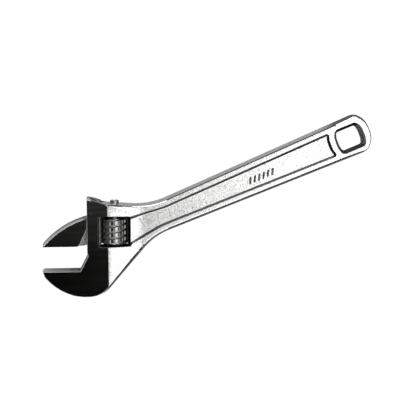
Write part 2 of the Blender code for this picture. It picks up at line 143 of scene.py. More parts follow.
def grown(outline, distance):
    # moves an anticlockwise outline outwards by a distance, which is a number or depends on
    # each edge's middle and direction
    distanceAt = distance if callable(distance) else lambda middle, edge: distance
    moved = []
    for index, here in enumerate(outline):
        before = outline[index - 1]
        after = outline[(index + 1) % len(outline)]
        edgeIn = (here - before).normalized()
        edgeOut = (after - here).normalized()
        shiftIn = distanceAt((here + before) / 2, edgeIn)
        shiftOut = distanceAt((here + after) / 2, edgeOut)
        turn = edgeIn.cross(edgeOut)
        if abs(turn) < 0.2:
            normal = Vector((edgeIn.y + edgeOut.y, -edgeIn.x - edgeOut.x)).normalized()
            move = normal * (shiftIn + shiftOut) / 2
        else:
            move = (edgeIn * shiftOut - edgeOut * shiftIn) / turn
        moved.append(here + move)
    return moved


def skinned(rings, mesh=None):
    # closed solid through rings of (x, y, z) points, lowest ring first
    if mesh is None:
        mesh = bmesh.new()
    rows = [[mesh.verts.new(point) for point in ring] for ring in rings]
    count = len(rows[0])
    for low, high in zip(rows, rows[1:]):
        for index in range(count):
            after = (index + 1) % count
            mesh.faces.new((low[index], low[after], high[after], high[index]))
    mesh.faces.new(tuple(reversed(rows[0])))
    mesh.faces.new(tuple(rows[-1]))
    return mesh


def slab(outline, low, high):
    return skinned([[(p[0], p[1], z) for p in outline] for z in (low, high)])


def turnedSolid(profile, axisX, sides):
    # turns (radius, y) points, lowest y first, about the line x = axisX, z = 0
    rings = []
    for radius, y in profile:
        rings.append([(axisX + radius * math.sin(fullTurn * side / sides), y,
                       radius * math.cos(fullTurn * side / sides)) for side in range(sides)])
    return skinned(rings)


def closedRing(rings):
    # closed body through rings that follow each other all the way round
    mesh = bmesh.new()
    rows = [[mesh.verts.new(point) for point in ring] for ring in rings]
    count = len(rows[0])
    for index, row in enumerate(rows):
        after = rows[(index + 1) % len(rows)]
        for place in range(count):
            beyond = (place + 1) % count
            mesh.faces.new((row[place], row[beyond], after[beyond], after[place]))
    return mesh


def newPiece(name, mesh):
    bmesh.ops.scale(mesh, vec=(mm, mm, mm), verts=mesh.verts)
    bmesh.ops.recalc_face_normals(mesh, faces=mesh.faces)
    data = bpy.data.meshes.new(name)
    mesh.to_mesh(data)
    mesh.free()
    piece = bpy.data.objects.new(name, data)
    bpy.context.scene.collection.objects.link(piece)
    return piece


def settle(piece):
    # writes the modifiers' result into the mesh
    bpy.context.view_layer.update()
    shown = piece.evaluated_get(bpy.context.evaluated_depsgraph_get())
    data = bpy.data.meshes.new_from_object(shown)
    piece.modifiers.clear()
    piece.data = data
    data.name = piece.name


def combine(piece, tool, operation):
    modifier = piece.modifiers.new("cut", "BOOLEAN")
    modifier.operation = operation
    modifier.solver = "EXACT"
    modifier.object = tool
    settle(piece)
    bpy.data.objects.remove(tool)


def dressEdges(piece, radiusAt, segments=3, sharpest=28.0):
    # rounds every sharp edge by radiusAt(middle) mm and marks the rounding as "edge"
    mesh = bmesh.new()
    mesh.from_mesh(piece.data)
    bmesh.ops.remove_doubles(mesh, verts=mesh.verts, dist=0.004 * mm)
    bmesh.ops.dissolve_degenerate(mesh, edges=mesh.edges, dist=0.004 * mm)
    weight = mesh.edges.layers.float.new("bevel_weight_edge")
    for edge in mesh.edges:
        if len(edge.link_faces) == 2 and edge.calc_face_angle() > math.radians(sharpest):
            middle = (edge.verts[0].co + edge.verts[1].co) / 2 / mm
            edge[weight] = min(1.0, radiusAt(middle))
    mesh.to_mesh(piece.data)
    mesh.free()
    modifier = piece.modifiers.new("dress", "BEVEL")
    modifier.limit_method = "WEIGHT"
    modifier.width = mm
    modifier.segments = segments
    modifier.use_clamp_overlap = False
    modifier.material = 1
    piece.data.materials.append(None)
    piece.data.materials.append(None)
    settle(piece)
    markEdges(piece)


def setNumbers(piece, name, place, values):
    attribute = piece.data.attributes.new(name, "FLOAT", place)
    attribute.data.foreach_set("value", values)


def markEdges(piece):
    # "edge" is 1 along the middle of each rounding and 0 where it meets a broad face
    data = piece.data
    onEdge = [1.0] * len(data.vertices)
    for face in data.polygons:
        if face.material_index != 1:
            for vertex in face.vertices:
                onEdge[vertex] = 0.0
        face.material_index = 0
    setNumbers(piece, "edge", "POINT", onEdge)
    data.materials.clear()


def markPaintedShade(piece, paintedShadeAt):
    # painted shade: how dark each face is painted to stand for shade, 1 for the walls of a sunk or cut
    # shape
    setNumbers(piece, "paintedShade", "FACE", [paintedShadeAt(face.center / mm, face.normal)
                                         for face in piece.data.polygons])


def shadeRound(piece, sharpest=50.0):
    piece.data.shade_smooth()
    piece.data.set_sharp_from_angle(angle=math.radians(sharpest))


def smoothShade(piece):
    shadeRound(piece, 35.0)
    modifier = piece.modifiers.new("normals", "WEIGHTED_NORMAL")
    modifier.keep_sharp = True
    modifier.weight = 80
    settle(piece)


bodyShape = {
    "headThickness": 15.5,
    "handleThickness": 11.5,
    "slopeStart": 32.3,  # the ground band ends here and the forging slopes down
    "slopeEnd": 54.5,
    "slopeBlend": 2.5,
    "jawLeft": -14.5,
    "jawRight": 12.5,
    "throatReach": 1.1,  # how far the throat stands out at the parting line
    "jawTip": (-13.1, -4.0),
    "jawTipRadius": 5.0,
    "jawBackAngle": 50.0,
    "jawBackRadius": 40.0,
    "jawDepth": 19.5,
    "heelCorner": 27.8,
    "heelRadius": 19.0,
    "shoulderAngle": 49.7,
    "shoulderRadius": 44.0,
    "topShoulderRadius": 51.0,
    "headLeft": 17.3,
    "headTop": 53.0,
    "headTopSlope": 17.5,
    "topBend": 31.5,
    "topFlatSlope": 4.0,
    "topBendRadius": 4.0,
    "throatAngle": 63.0,
    "throatRadius": 6.0,
    "handleAngle": 22.5,
    "handleAxisOffset": 8.4,
    "handleStart": 105.0,
    "handleCorner": 232.4,
    "handleEnd": 239.5,
    "widthAtStart": 23.4,
    "widthAtEnd": 28.4,
    "endCornerRadius": 8.8,
    "endRadius": 17.0,
    "endArc": 7.9,
    "headDraft": 0.25,
    "jawDraft": 0.09,
    "throatDraft": 0.13,
    "handleDraft": 0.3,
    "endDraft": 0.17,
    "draftChange": 75.0,  # the handle has its full draft from here on
    "heelReach": 20.0,  # the jaw's draft reaches this far past the heel corner
    "heelChangeStart": 8.0,
    "heelChangeRun": 29.8,
    "endChangeStart": 12.0,  # before the handle's last corner
    "endChangeRun": 10.0,
    "partingLand": 0.45,
    "partingStep": 0.12,
    "stepFade": 4.0,  # the step is whole from a draft of one over this
    "sideShares": (0.11, 0.25, 0.4, 0.55, 0.7, 0.85, 1.0, 1.25),
    "slopeSteps": 10,
}

panelShape = {
    "depth": 2.6,
    "rim": 3.2,
    "draft": 0.44,
    "upperDraft": 0.66,
    "end": 209.1,
    "endBow": 1.7,
    "upperSlope": 16.8,
    "lowerSlope": 30.4,
    "upperStart": 38.6,
    "lowerStart": 18.7,
    "bendRadius": 40.0,
    "endRadius": 10.0,
    "endFlat": 0.45,  # share of the half width where the end's bow begins
    "cornerRadius": 1.7,
    "intoWindow": 1.0,
    "cutDeeper": 0.7,
}

holeShape = {
    "centre": 223.4,
    "drop": 0.6,
    "bow": 1.1,
    "halfLength": 7.9,
    "halfWidth": 6.8,
    "endFlat": 0.45,
    "endRadius": 10.0,
    "cornerRadius": 1.5,
    "draft": 0.43,
}

wormMiddle = nodeMiddle("worm")
wormLow, wormHigh = [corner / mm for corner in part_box("worm")]
wormRadius = (wormHigh.x - wormLow.x) / 2

windowShape = {
    "leftGap": 0.8,
    "rightGap": 0.3,
    "endGap": 0.4,
    "draft": 0.213,
    "rightDraft": 0.42,
    "cornerRadius": 0.6,
}

boreShape = {
    "axis": 24.0,
    "radius": 5.75,
    "floor": 0.6,
    "slotFloor": 0.15,
    "slotHalf": 3.3,
    "pinRadius": 2.8,
    "pinSeatRadius": 3.45,
    "pinSeat": 46.85,
    "pinFloor": 10.0,
}


def onHandle(along, across):
    angle = math.radians(bodyShape["handleAngle"])
    point = turned(Vector((along, across + bodyShape["handleAxisOffset"])), angle)
    return (point.x, point.y)


def byHandle(vector):
    # turns a place or a direction so that X runs along the handle
    return turned(vector, -math.radians(bodyShape["handleAngle"]))


def handleHalfWidth(along):
    s = bodyShape
    share = (along - s["handleStart"]) / (s["handleCorner"] - s["handleStart"])
    return mixed(s["widthAtStart"], s["widthAtEnd"], share) / 2


def handleEdge(side, inset=0.0):
    # a point on the handle's upper (1) or lower (-1) edge, and the edge's angle
    start, end = bodyShape["handleStart"], bodyShape["handleCorner"]
    low = onHandle(start, side * (handleHalfWidth(start) - inset))
    high = onHandle(end, side * (handleHalfWidth(end) - inset))
    return low, math.degrees(math.atan2(high[1] - low[1], high[0] - low[0]))


def meeting(start, slope, other, otherSlope):
    first = turned(Vector((1.0, 0.0)), math.radians(slope))
    second = turned(Vector((1.0, 0.0)), math.radians(otherSlope))
    gap = Vector(other) - Vector(start)
    return Vector(start) + first * (gap.cross(second) / first.cross(second))


def headTop(x):
    # height of the head's upper edge, which bends down less steeply from topBend on
    s = bodyShape
    slant, flat = [math.tan(math.radians(s[name])) for name in ("headTopSlope", "topFlatSlope")]
    if x < s["topBend"]:
        return s["headTop"] - (x - s["headLeft"]) * slant
    return s["headTop"] - (s["topBend"] - s["headLeft"]) * slant - (x - s["topBend"]) * flat


def bodyOutline():
    s = bodyShape
    tipX, tipY = s["jawTip"]
    jawCorner = tipX + (s["jawDepth"] + tipY) / math.tan(math.radians(s["jawBackAngle"]))
    lower, lowerSlope = handleEdge(-1)
    upper, upperSlope = handleEdge(1)
    heel = (s["heelCorner"], -s["jawDepth"])
    bend = (s["topBend"], headTop(s["topBend"]))
    shoulder = meeting(heel, s["shoulderAngle"], lower, lowerSlope)
    topShoulder = meeting(bend, -s["topFlatSlope"], upper, upperSlope)
    throat = s["jawRight"] - s["throatReach"]
    throatTop = (s["headLeft"] - throat) * math.tan(math.radians(s["throatAngle"]))
    wide = handleHalfWidth(s["handleCorner"])
    return roundedOutline([
        (s["jawLeft"], 0.0, 0.0),
        (tipX, tipY, s["jawTipRadius"]),
        (jawCorner, -s["jawDepth"], s["jawBackRadius"]),
        (*heel, s["heelRadius"]),
        (*shoulder, s["shoulderRadius"]),
        (*onHandle(s["handleCorner"], -wide), s["endCornerRadius"]),
        (*onHandle(s["handleEnd"], -s["endArc"]), s["endRadius"]),
        (*onHandle(s["handleEnd"], s["endArc"]), s["endRadius"]),
        (*onHandle(s["handleCorner"], wide), s["endCornerRadius"]),
        (*topShoulder, s["topShoulderRadius"]),
        (*bend, s["topBendRadius"]),
        (s["headLeft"], s["headTop"], 0.0),
        (s["headLeft"], throatTop, s["throatRadius"]),
        (throat, 0.0, 0.0),
    ])


def faceHeight(x):
    # height of the forging's broad side over the parting line
    s = bodyShape
    high, low = s["headThickness"] / 2, s["handleThickness"] / 2
    blend = s["slopeBlend"]
    slope = (high - low) / (s["slopeEnd"] - s["slopeStart"])
    past = x - s["slopeEnd"]
    if x <= s["slopeStart"]:
        return high
    if past >= blend:
        return low
    if past <= -blend:
        return low - past * slope
    return low + slope * (blend - past) ** 2 / (4 * blend)


def sideDraft(middle):
    # how steeply the forging's side leans in at a place on the outline
    s = bodyShape
    onJawFace = abs(middle.y) < touching
    if middle.y > 0.0 and not onJawFace and 0.0 < middle.x < s["headLeft"] - 2 * touching:
        return s["throatDraft"]
    if onJawFace or (middle.y > 0.0 and middle.x < s["headLeft"] + touching):
        return 0.0
    pastCorner = byHandle(middle).x - s["handleCorner"] + s["endChangeStart"]
    if pastCorner > 0.0:
        return mixed(s["handleDraft"], s["endDraft"], pastCorner / s["endChangeRun"])
    if middle.y < 0.0 and middle.x < s["heelCorner"] + s["heelReach"]:
        share = (middle.x - s["heelChangeStart"]) / s["heelChangeRun"]
        return mixed(s["jawDraft"], s["headDraft"], share)
    share = (middle.x - s["slopeStart"]) / (s["draftChange"] - s["slopeStart"])
    return mixed(s["headDraft"], s["handleDraft"], share)


def forgingRing(outline, share):
    # one ring of the forging's side: share 0 is the parting line and 1 is the broad side
    def inset(middle, edge):
        draft = sideDraft(middle)
        if draft == 0.0:
            return 0.0
        step = bodyShape["partingStep"] * min(1.0, draft * bodyShape["stepFade"])
        return -draft * faceHeight(middle.x) * crowned(share) - step

    return [(moved.x, moved.y, share * faceHeight(point.x))
            for moved, point in zip(grown(outline, inset), outline)]


def forging(outline):
    half = [[(point.x, point.y, bodyShape["partingLand"]) for point in outline]]
    half += [forgingRing(outline, share) for share in bodyShape["sideShares"]]
    below = [[(x, y, -z) for x, y, z in ring] for ring in reversed(half)]
    return newPiece("wrenchBody", skinned(below + half))


def thicknessGuide(name, depth=None):
    # side profile of the forging, or of all that lies above a floor at a depth under its face
    s = bodyShape
    blend, end, steps = s["slopeBlend"], s["slopeEnd"], s["slopeSteps"]
    stations = [s["jawLeft"] - overlap, s["slopeStart"]]
    stations += [end - blend + 2 * blend * step / steps for step in range(steps + 1)]
    stations += [s["handleEnd"] + overlap]
    top = [(x, faceHeight(x)) for x in stations]
    if depth is None:
        profile = top + [(x, -z) for x, z in reversed(top)]
    else:
        profile = [(x, s["headThickness"]) for x in (stations[0], stations[-1])]
        profile += [(x, z - depth) for x, z in reversed(top)]
    return newPiece(name, skinned([[(x, y, z) for x, z in profile]
                                   for y in (-s["jawDepth"] - overlap, s["handleEnd"])]))


def windowSides():
    left = wormMiddle.x - wormRadius - windowShape["leftGap"]
    right = wormMiddle.x + wormRadius + windowShape["rightGap"]
    return left, right, wormLow.y - windowShape["endGap"], wormHigh.y + windowShape["endGap"]


def panelOutline():
    s = panelShape
    inset = s["rim"] + bodyShape["handleDraft"] * bodyShape["handleThickness"] / 2
    upper, upperSlope = handleEdge(1, inset)
    lower, lowerSlope = handleEdge(-1, inset)
    windowRight = windowSides()[1]
    mouth = windowRight + windowShape["rightDraft"] * bodyShape["handleThickness"] / 2
    topBend = meeting((mouth, s["upperStart"]), s["upperSlope"], upper, upperSlope)
    lowBend = meeting((mouth, s["lowerStart"]), s["lowerSlope"], lower, lowerSlope)
    endHalf = handleHalfWidth(s["end"]) - inset
    corner = s["end"] + s["endBow"]
    inside = windowRight - s["intoWindow"]
    return roundedOutline([
        (mouth, s["lowerStart"], 0.0),
        (*lowBend, s["bendRadius"]),
        (*onHandle(corner, -endHalf), s["cornerRadius"]),
        (*onHandle(s["end"], -endHalf * s["endFlat"]), s["endRadius"]),
        (*onHandle(s["end"], endHalf * s["endFlat"]), s["endRadius"]),
        (*onHandle(corner, endHalf), s["cornerRadius"]),
        (*topBend, s["bendRadius"]),
        (mouth, s["upperStart"], 0.0),
        (inside, s["upperStart"] - s["intoWindow"], 0.0),
        (inside, s["lowerStart"] + s["intoWindow"], 0.0),
    ])


def panelCutter(side):
    # the panel's floor stays at one depth under the face, so it slopes with it by the head
    s = panelShape
    outline = panelOutline()
    across = turned(Vector((0.0, 1.0)), math.radians(bodyShape["handleAngle"]))
    axis = Vector(onHandle(0.0, 0.0))
    rings = []
    for below in (s["depth"] + s["cutDeeper"], 0.0, -overlap):
        ring = []
        for p in grown(outline, -below * s["draft"]):
            if (p - axis).dot(across) > 0.0:
                p = p - across * (s["upperDraft"] - s["draft"]) * below
            ring.append((p.x, p.y, faceHeight(p.x) - below))
        rings.append(ring)
    cutter = newPiece("panelCutter", skinned(rings))
    combine(cutter, thicknessGuide("panelFloor", s["depth"]), "INTERSECT")
    if side < 0:
        cutter.data.transform(Matrix.Scale(-1.0, 4, (0.0, 0.0, 1.0)))
        cutter.data.flip_normals()
    return cutter


def flaredCutter(name, outline, draft, reach, rightDraft=None):
    # widens away from the parting line, with its own draft on its right side
    extra = 0.0 if rightDraft is None else rightDraft - draft
    centre = (min(p.x for p in outline) + max(p.x for p in outline)) / 2
    rings = []
    for height in (-reach, 0.0, reach):
        points = grown(outline, draft * abs(height))
        rings.append([(p.x + (extra * abs(height) if p.x > centre else 0.0), p.y, height)
                      for p in points])
    return newPiece(name, skinned(rings))


def windowCutter():
    left, right, low, high = windowSides()
    radius = windowShape["cornerRadius"]
    outline = roundedOutline([(left, low, radius), (right, low, radius),
                              (right, high, radius), (left, high, radius)])
    return flaredCutter("windowCutter", outline, windowShape["draft"],
                        bodyShape["headThickness"] / 2 + overlap, windowShape["rightDraft"])


def holeCutter():
    s = holeShape
    flat = s["halfLength"] - s["bow"]
    middle = s["halfWidth"] * s["endFlat"]
    corners = []
    for sideX, sideY in ((-1, -1), (1, -1), (1, 1), (-1, 1)):
        bowed = (sideX * s["halfLength"], sideY * middle, s["endRadius"])
        corner = (sideX * flat, sideY * s["halfWidth"], s["cornerRadius"])
        corners += [bowed, corner] if sideX * sideY > 0 else [corner, bowed]
    outline = roundedOutline([(*onHandle(s["centre"] + x, y - s["drop"]), radius)
                              for x, y, radius in corners])
    return flaredCutter("holeCutter", outline, s["draft"],
                        bodyShape["handleThickness"] / 2 + overlap)


def boreCutters():
    s = boreShape
    top = bodyShape["headTop"] + overlap
    rail = turnedSolid([(s["radius"], s["floor"]), (s["radius"], top)], s["axis"], 96)
    left = bodyShape["jawRight"] - overlap
    slotFloor = s["slotFloor"]
    slot = slab([(left, slotFloor), (s["axis"], slotFloor), (s["axis"], top), (left, top)],
                -s["slotHalf"], s["slotHalf"])
    pin = turnedSolid([(s["pinRadius"], s["pinFloor"]), (s["pinRadius"], s["pinSeat"]),
                       (s["pinSeatRadius"], s["pinSeat"]), (s["pinSeatRadius"], top)],
                      wormMiddle.x, 64)
    return [newPiece("boreCutter", rail), newPiece("slotCutter", slot),
            newPiece("pinCutter", pin)]


bodyEdges = {  # radii of the rounded edges, and where each one holds
    "plain": 0.2,
    "mouth": 0.05,
    "mouthReach": 1.4,
    "hole": 0.55,
    "holeReach": 14.0,
    "rim": 2.6,  # wall between the hole and the outline
    "outline": 0.22,
    "outlineGain": 0.75,
    "outlineReach": 3.2,
    "gainRun": 25.0,
    "highShare": 0.6,
    "panelFloor": 0.45,
    "panelRim": 0.16,
    "mouthStep": 1.2,
    "mouthCorner": 1.3,
    "mouthBand": 0.2,
}

bodyPaintedShade = {  # painted shade: how dark each wall is painted, by where it lies and which way it faces
    # painted shade: the side round the handle's end is painted dark, for a dark outline
    "end": 0.85,
    "window": {"left": 0.55, "bottom": 0.7, "other": 1.0},
    "hole": {"top": 1.0, "bottom": 0.32, "other": 0.14},
    "panel": {"bottom": 0.94, "other": 1.0},
    "outlineReach": 2.4,
    "level": 0.975,
    "facing": 0.5,
    "endFacing": 0.45,
    "endBand": 1.0,
    "windowReach": (2.0, 3.6),  # past the window's sides, and past its right side
}


def outlineFinder(outline):
    # gives a place's distance from the nearest point of the outline
    finder = KDTree(len(outline))
    for index, point in enumerate(outline):
        finder.insert((point.x, point.y, 0.0), index)
    finder.balance()
    return lambda middle: finder.find((middle.x, middle.y, 0.0))[2]


def buildBody():
    outline = bodyOutline()
    piece = forging(outline)
    combine(piece, thicknessGuide("thicknessGuide"), "INTERSECT")
    cutters = [panelCutter(1), panelCutter(-1), windowCutter(), holeCutter()] + boreCutters()
    for cutter in cutters:
        combine(piece, cutter, "DIFFERENCE")
    fromOutline = outlineFinder(outline)
    holeMiddle = Vector(onHandle(holeShape["centre"], 0.0))
    left, right, low, high = windowSides()
    mouth = right + bodyEdges["mouthStep"]
    mouthCorners = [Vector((mouth + bodyEdges["mouthCorner"], panelShape[name]))
                    for name in ("lowerStart", "upperStart")]

    def radiusAt(middle):
        s = bodyEdges
        height, distance = faceHeight(middle.x), fromOutline(middle)
        if min((middle.xy - corner).length for corner in mouthCorners) < s["mouthReach"]:
            return s["mouth"]
        if (middle.xy - holeMiddle).length < s["holeReach"] and distance > s["rim"]:
            return s["hole"]
        if distance < s["outlineReach"] and abs(middle.z) > s["highShare"] * height:
            share = (middle.x - bodyShape["slopeStart"]) / s["gainRun"]
            return s["outline"] + s["outlineGain"] * mixed(0.0, 1.0, share)
        if middle.x < mouth + s["mouthBand"]:
            return s["plain"]
        onFloor = abs(middle.z) < height - panelShape["depth"] / 2
        return s["panelFloor"] if onFloor else s["panelRim"]

    # painted shade: picks how dark each wall is painted by where it lies and which way it faces; broad
    # faces and the outline's sides stay unpainted, except round the handle's end
    def paintedShadeAt(middle, normal):
        s = bodyPaintedShade
        byOutline = fromOutline(middle) < s["outlineReach"]
        outward, up = byHandle(normal.xy)
        pastCorner = byHandle(middle.xy).x > bodyShape["handleCorner"] - s["endBand"]
        if pastCorner and byOutline and outward > s["endFacing"]:
            return s["end"]
        if byOutline or abs(normal.z) > s["level"]:
            return 0.0
        near, far = s["windowReach"]
        if left - near < middle.x < right + far and low - near < middle.y < high + near:
            side = "left" if normal.x > s["facing"] else "bottom" if normal.y > s["facing"] else "other"
            return s["window"][side]
        if (middle.xy - holeMiddle).length < bodyEdges["holeReach"]:
            side = "top" if up < -s["facing"] else "bottom" if up > s["facing"] else "other"
            return s["hole"][side]
        return s["panel"]["other" if up < s["facing"] else "bottom"]

    dressEdges(piece, radiusAt)
    smoothShade(piece)
    markPaintedShade(piece, paintedShadeAt)
    return piece


wrenchBody = buildBody()
print("forged body built:", len(wrenchBody.data.polygons), "faces")

jawShape = {
    "opening": 17.5,
    "tip": -13.7,
    "tipHeight": 2.0,
    "backBulge": 2.7,
    "toe": 5.3,
    "toeWidth": 1.3,
    "toeHeight": 0.8,
    "slantHeight": 12.8,
    "height": 21.4,
    "draft": 0.2,
    "sideShares": (0.05, 0.25, 0.5, 0.75, 1.0),
    "sideGap": 0.3,
    "neckHalf": 3.0,
    "footLeft": 6.6,  # the neck's foot and top, from the head's left side
    "footRight": 2.8,
    "topLeft": 3.0,
    "neckLow": 0.85,
    "neckRise": 0.75,
    "neckHigh": 19.3,
    "railRadius": 5.5,
    "railSink": 0.5,
    "rackPitch": 4.2,
    "rackHalf": 1.54,
    "rackFlank": 0.2,
    "rackDepth": 2.3,
    "rackLean": 0.157,
    "rackPast": 1.0,  # how far the rack's cutter stands out of the rail
    "edge": 0.22,
    "slideEdge": 0.16,
    "slideBand": 0.4,
    "innerBand": 2.5,
    # painted shade on the jaw: the band near its slide and its middle, and the neck inside the head
    "innerPaintedShade": 0.6,
    "neckPaintedShade": 0.85,
}


def arcThrough(start, end, bulge):
    # arc from start to end that rises by bulge to the right of the line
    first, last = Vector(start), Vector(end)
    chord = last - first
    half = chord.length / 2
    radius = (half * half + bulge * bulge) / (2 * bulge)
    centre = (first + last) / 2 + Vector((chord.y, -chord.x)).normalized() * (bulge - radius)
    opening = 2 * math.asin(half / radius)
    steps = math.ceil(opening / (2 * math.acos(1.0 - arcError / radius)))
    return [centre + turned(first - centre, opening * step / steps) for step in range(steps + 1)]


def jawOutline():
    s = jawShape
    right = bodyShape["headLeft"] - s["sideGap"]
    toe = right - s["toe"]
    back = arcThrough((right, s["opening"] + s["height"]),
                      (s["tip"], s["opening"] + s["tipHeight"]), s["backBulge"])
    return spaced([Vector((s["tip"], s["opening"])),
                   Vector((toe - s["toeWidth"], s["opening"])),
                   Vector((toe, s["opening"] + s["toeHeight"])),
                   Vector((right, s["opening"] + s["slantHeight"]))] + back)


def jawBlock():
    # the jaw itself: square at its face and slide, leaning back along its drafted back
    outline = jawOutline()
    right = bodyShape["headLeft"] - jawShape["sideGap"]
    half = bodyShape["headThickness"] / 2
    front = jawShape["sideShares"]
    rings = []
    for share in [-share for share in reversed(front)] + list(front):
        lean = -jawShape["draft"] * half * crowned(abs(share))
        points = grown(outline, lambda middle, edge:
                       0.0 if middle.x > right - touching or edge.x > -touching else lean)
        rings.append([(p.x, p.y, share * half) for p in points])
    return newPiece("movableJaw", skinned(rings))


def neckGuide():
    s = jawShape
    low, high = s["opening"] + s["neckLow"], s["opening"] + s["neckHigh"]
    right = bodyShape["headLeft"]
    outline = [(right - s["footLeft"], low - s["neckRise"]),
               (right - s["footRight"], low - s["neckRise"]),
               (right, low), (boreShape["axis"], low),
               (boreShape["axis"], high), (right - s["topLeft"], high)]
    return newPiece("neckGuide", slab(outline, -s["neckHalf"], s["neckHalf"]))


def railGuide():
    s = jawShape
    low = s["opening"] + s["neckLow"]
    mesh = turnedSolid([(s["railRadius"], low), (s["railRadius"], bodyShape["headTop"])],
                       boreShape["axis"], 120)
    for vertex in mesh.verts:
        if vertex.co.y > low + touching:
            vertex.co.y = headTop(vertex.co.x) - s["railSink"]
    return newPiece("railGuide", mesh)


def rackCutter():
    # slanting grooves along the rail, one for each turn of the worm's threads
    s = jawShape
    surface = boreShape["axis"] + s["railRadius"] + s["rackPast"]
    floor = surface - s["rackPast"] - s["rackDepth"]
    low = s["opening"] + s["neckLow"] - s["rackPitch"] / 2
    high = headTop(surface) + s["rackPitch"] / 2
    first = math.ceil((low - wormMiddle.y) / s["rackPitch"])
    last = math.floor((high - wormMiddle.y) / s["rackPitch"])
    reach = s["railRadius"] + s["rackPast"]
    narrow = s["rackHalf"]
    wide = narrow + s["rackFlank"] * (surface - floor)
    corners = ((floor, -narrow), (surface, -wide), (surface, wide), (floor, narrow))
    mesh = bmesh.new()
    for tooth in range(first, last + 1):
        middle = wormMiddle.y + tooth * s["rackPitch"]
        skinned([[(x, middle + z * s["rackLean"] + side, z) for x, side in corners]
                 for z in (-reach, reach)], mesh)
    return newPiece("rackCutter", mesh)


def buildJaw():
    s = jawShape
    piece = jawBlock()
    combine(piece, neckGuide(), "UNION")
    combine(piece, railGuide(), "UNION")
    combine(piece, rackCutter(), "DIFFERENCE")
    right = bodyShape["headLeft"] - s["sideGap"]

    # painted shade: faces inside the head are painted darker, and so are those near the slide side or
    # within the neck's thickness
    def paintedShadeAt(middle, normal):
        if middle.x < right - s["innerBand"] and abs(middle.z) > s["neckHalf"] + 2 * touching:
            return 0.0
        return s["neckPaintedShade"] if middle.x > right else s["innerPaintedShade"]

    dressEdges(piece, lambda middle: s["slideEdge"] if middle.x > right - s["slideBand"]
               else s["edge"])
    smoothShade(piece)
    markPaintedShade(piece, paintedShadeAt)
    return piece


movableJaw = buildJaw()
print("movable jaw built:", len(movableJaw.data.polygons), "faces")

wormShape = {
    "pitch": 4.2,
    "starts": 2,
    "crest": 2.4,
    "depth": 2.35,
    "flutes": 20,
    "fluteDepth": 0.5,
    "landShare": 0.72,
    "fluteTurn": 0.011,
    "chamfer": 0.6,
    "bore": 2.8,
    "pocket": 4.3,
    "pocketDepth": 4.2,
    "rimChamfer": 0.3,
    "startTurn": 0.75,  # of a turn, where a thread crosses the worm's middle
    "rowStep": 0.16,
    "sidesPerFlute": 14,
}


def wormRadiusAt(angle, y):
    # two-start thread with a rounded groove, whose flat crests are cut by straight flutes
    s = wormShape
    lead = s["pitch"] * s["starts"]
    phase = (y - wormMiddle.y - lead * (angle / fullTurn - s["startTurn"])) / s["pitch"]
    away = abs(phase - round(phase)) * s["pitch"]
    share = mixed(0.0, 1.0, (2 * away - s["crest"]) / (s["pitch"] - s["crest"]))
    fall = (1 - math.cos(math.pi * share)) / 2
    land = fullTurn / s["flutes"]
    aside = (angle + s["fluteTurn"]) % land - land / 2  # from the middle of a flat-topped ridge
    flat = wormRadius * (math.cos(land * s["landShare"] / 2) / math.cos(aside))
    notch = max(0.0, abs(aside) / (land / 2) - s["landShare"]) / (1 - s["landShare"])
    crest = min(wormRadius, flat) - s["fluteDepth"] * min(1.0, notch)
    root = wormRadius - s["depth"]
    fromEnd = min(y - wormLow.y, wormHigh.y - y)
    limit = wormRadius - s["chamfer"] + fromEnd
    return min(crest + (root - crest) * fall, limit)


def buildWorm():
    s = wormShape
    sides = s["flutes"] * s["sidesPerFlute"]
    length = wormHigh.y - wormLow.y
    rows = math.ceil(length / s["rowStep"])
    rings = []
    for row in range(rows + 1):
        y = wormLow.y + length * row / rows
        rings.append([wormPoint(angle * fullTurn / sides, y) for angle in range(sides)])
    step, rim = wormLow.y + s["pocketDepth"], s["rimChamfer"]
    for radius, y in ((s["bore"] + rim, wormHigh.y), (s["bore"], wormHigh.y - rim),
                      (s["bore"], step), (s["pocket"], step),
                      (s["pocket"], wormLow.y + rim), (s["pocket"] + rim, wormLow.y)):
        rings.append([wormPoint(angle * fullTurn / sides, y, radius) for angle in range(sides)])
    piece = newPiece("wormScrew", closedRing(rings))
    # here "edge" is 1 on the crests and 0 at the roots; the worm's material paints the crests dark
    # (painted shade) and the roots pale (painted reflection) by it
    depth = [(wormRadius - math.hypot(v.co.x / mm - wormMiddle.x, v.co.z / mm)) / s["depth"]
             for v in piece.data.vertices]
    setNumbers(piece, "edge", "POINT", [mixed(1.0, 0.0, value) for value in depth])
    shadeRound(piece)
    return piece


def wormPoint(angle, y, radius=None):
    if radius is None:
        radius = wormRadiusAt(angle, y)
    return (wormMiddle.x + radius * math.sin(angle), y, radius * math.cos(angle))


wormScrew = buildWorm()
print("worm built:", len(wormScrew.data.polygons), "faces")

pinShape = {
    "radius": 2.5,
    "headRadius": 3.15,
    "headHeight": 2.8,
    "headDome": 0.35,
    "slotWidth": 1.0,
    "slotDepth": 1.1,
    "tipChamfer": 0.6,
    "seatChamfer": 0.15,
    "rimRound": 0.45,
    "rimTaper": 0.3,
    "rimSteps": 8,
    "rimTurn": 80.0,
    "crownWidth": 0.8,
    "crownShares": (0.85, 0.65, 0.45, 0.22, 0.04),
    "edge": 0.1,
    "sides": 96,
}


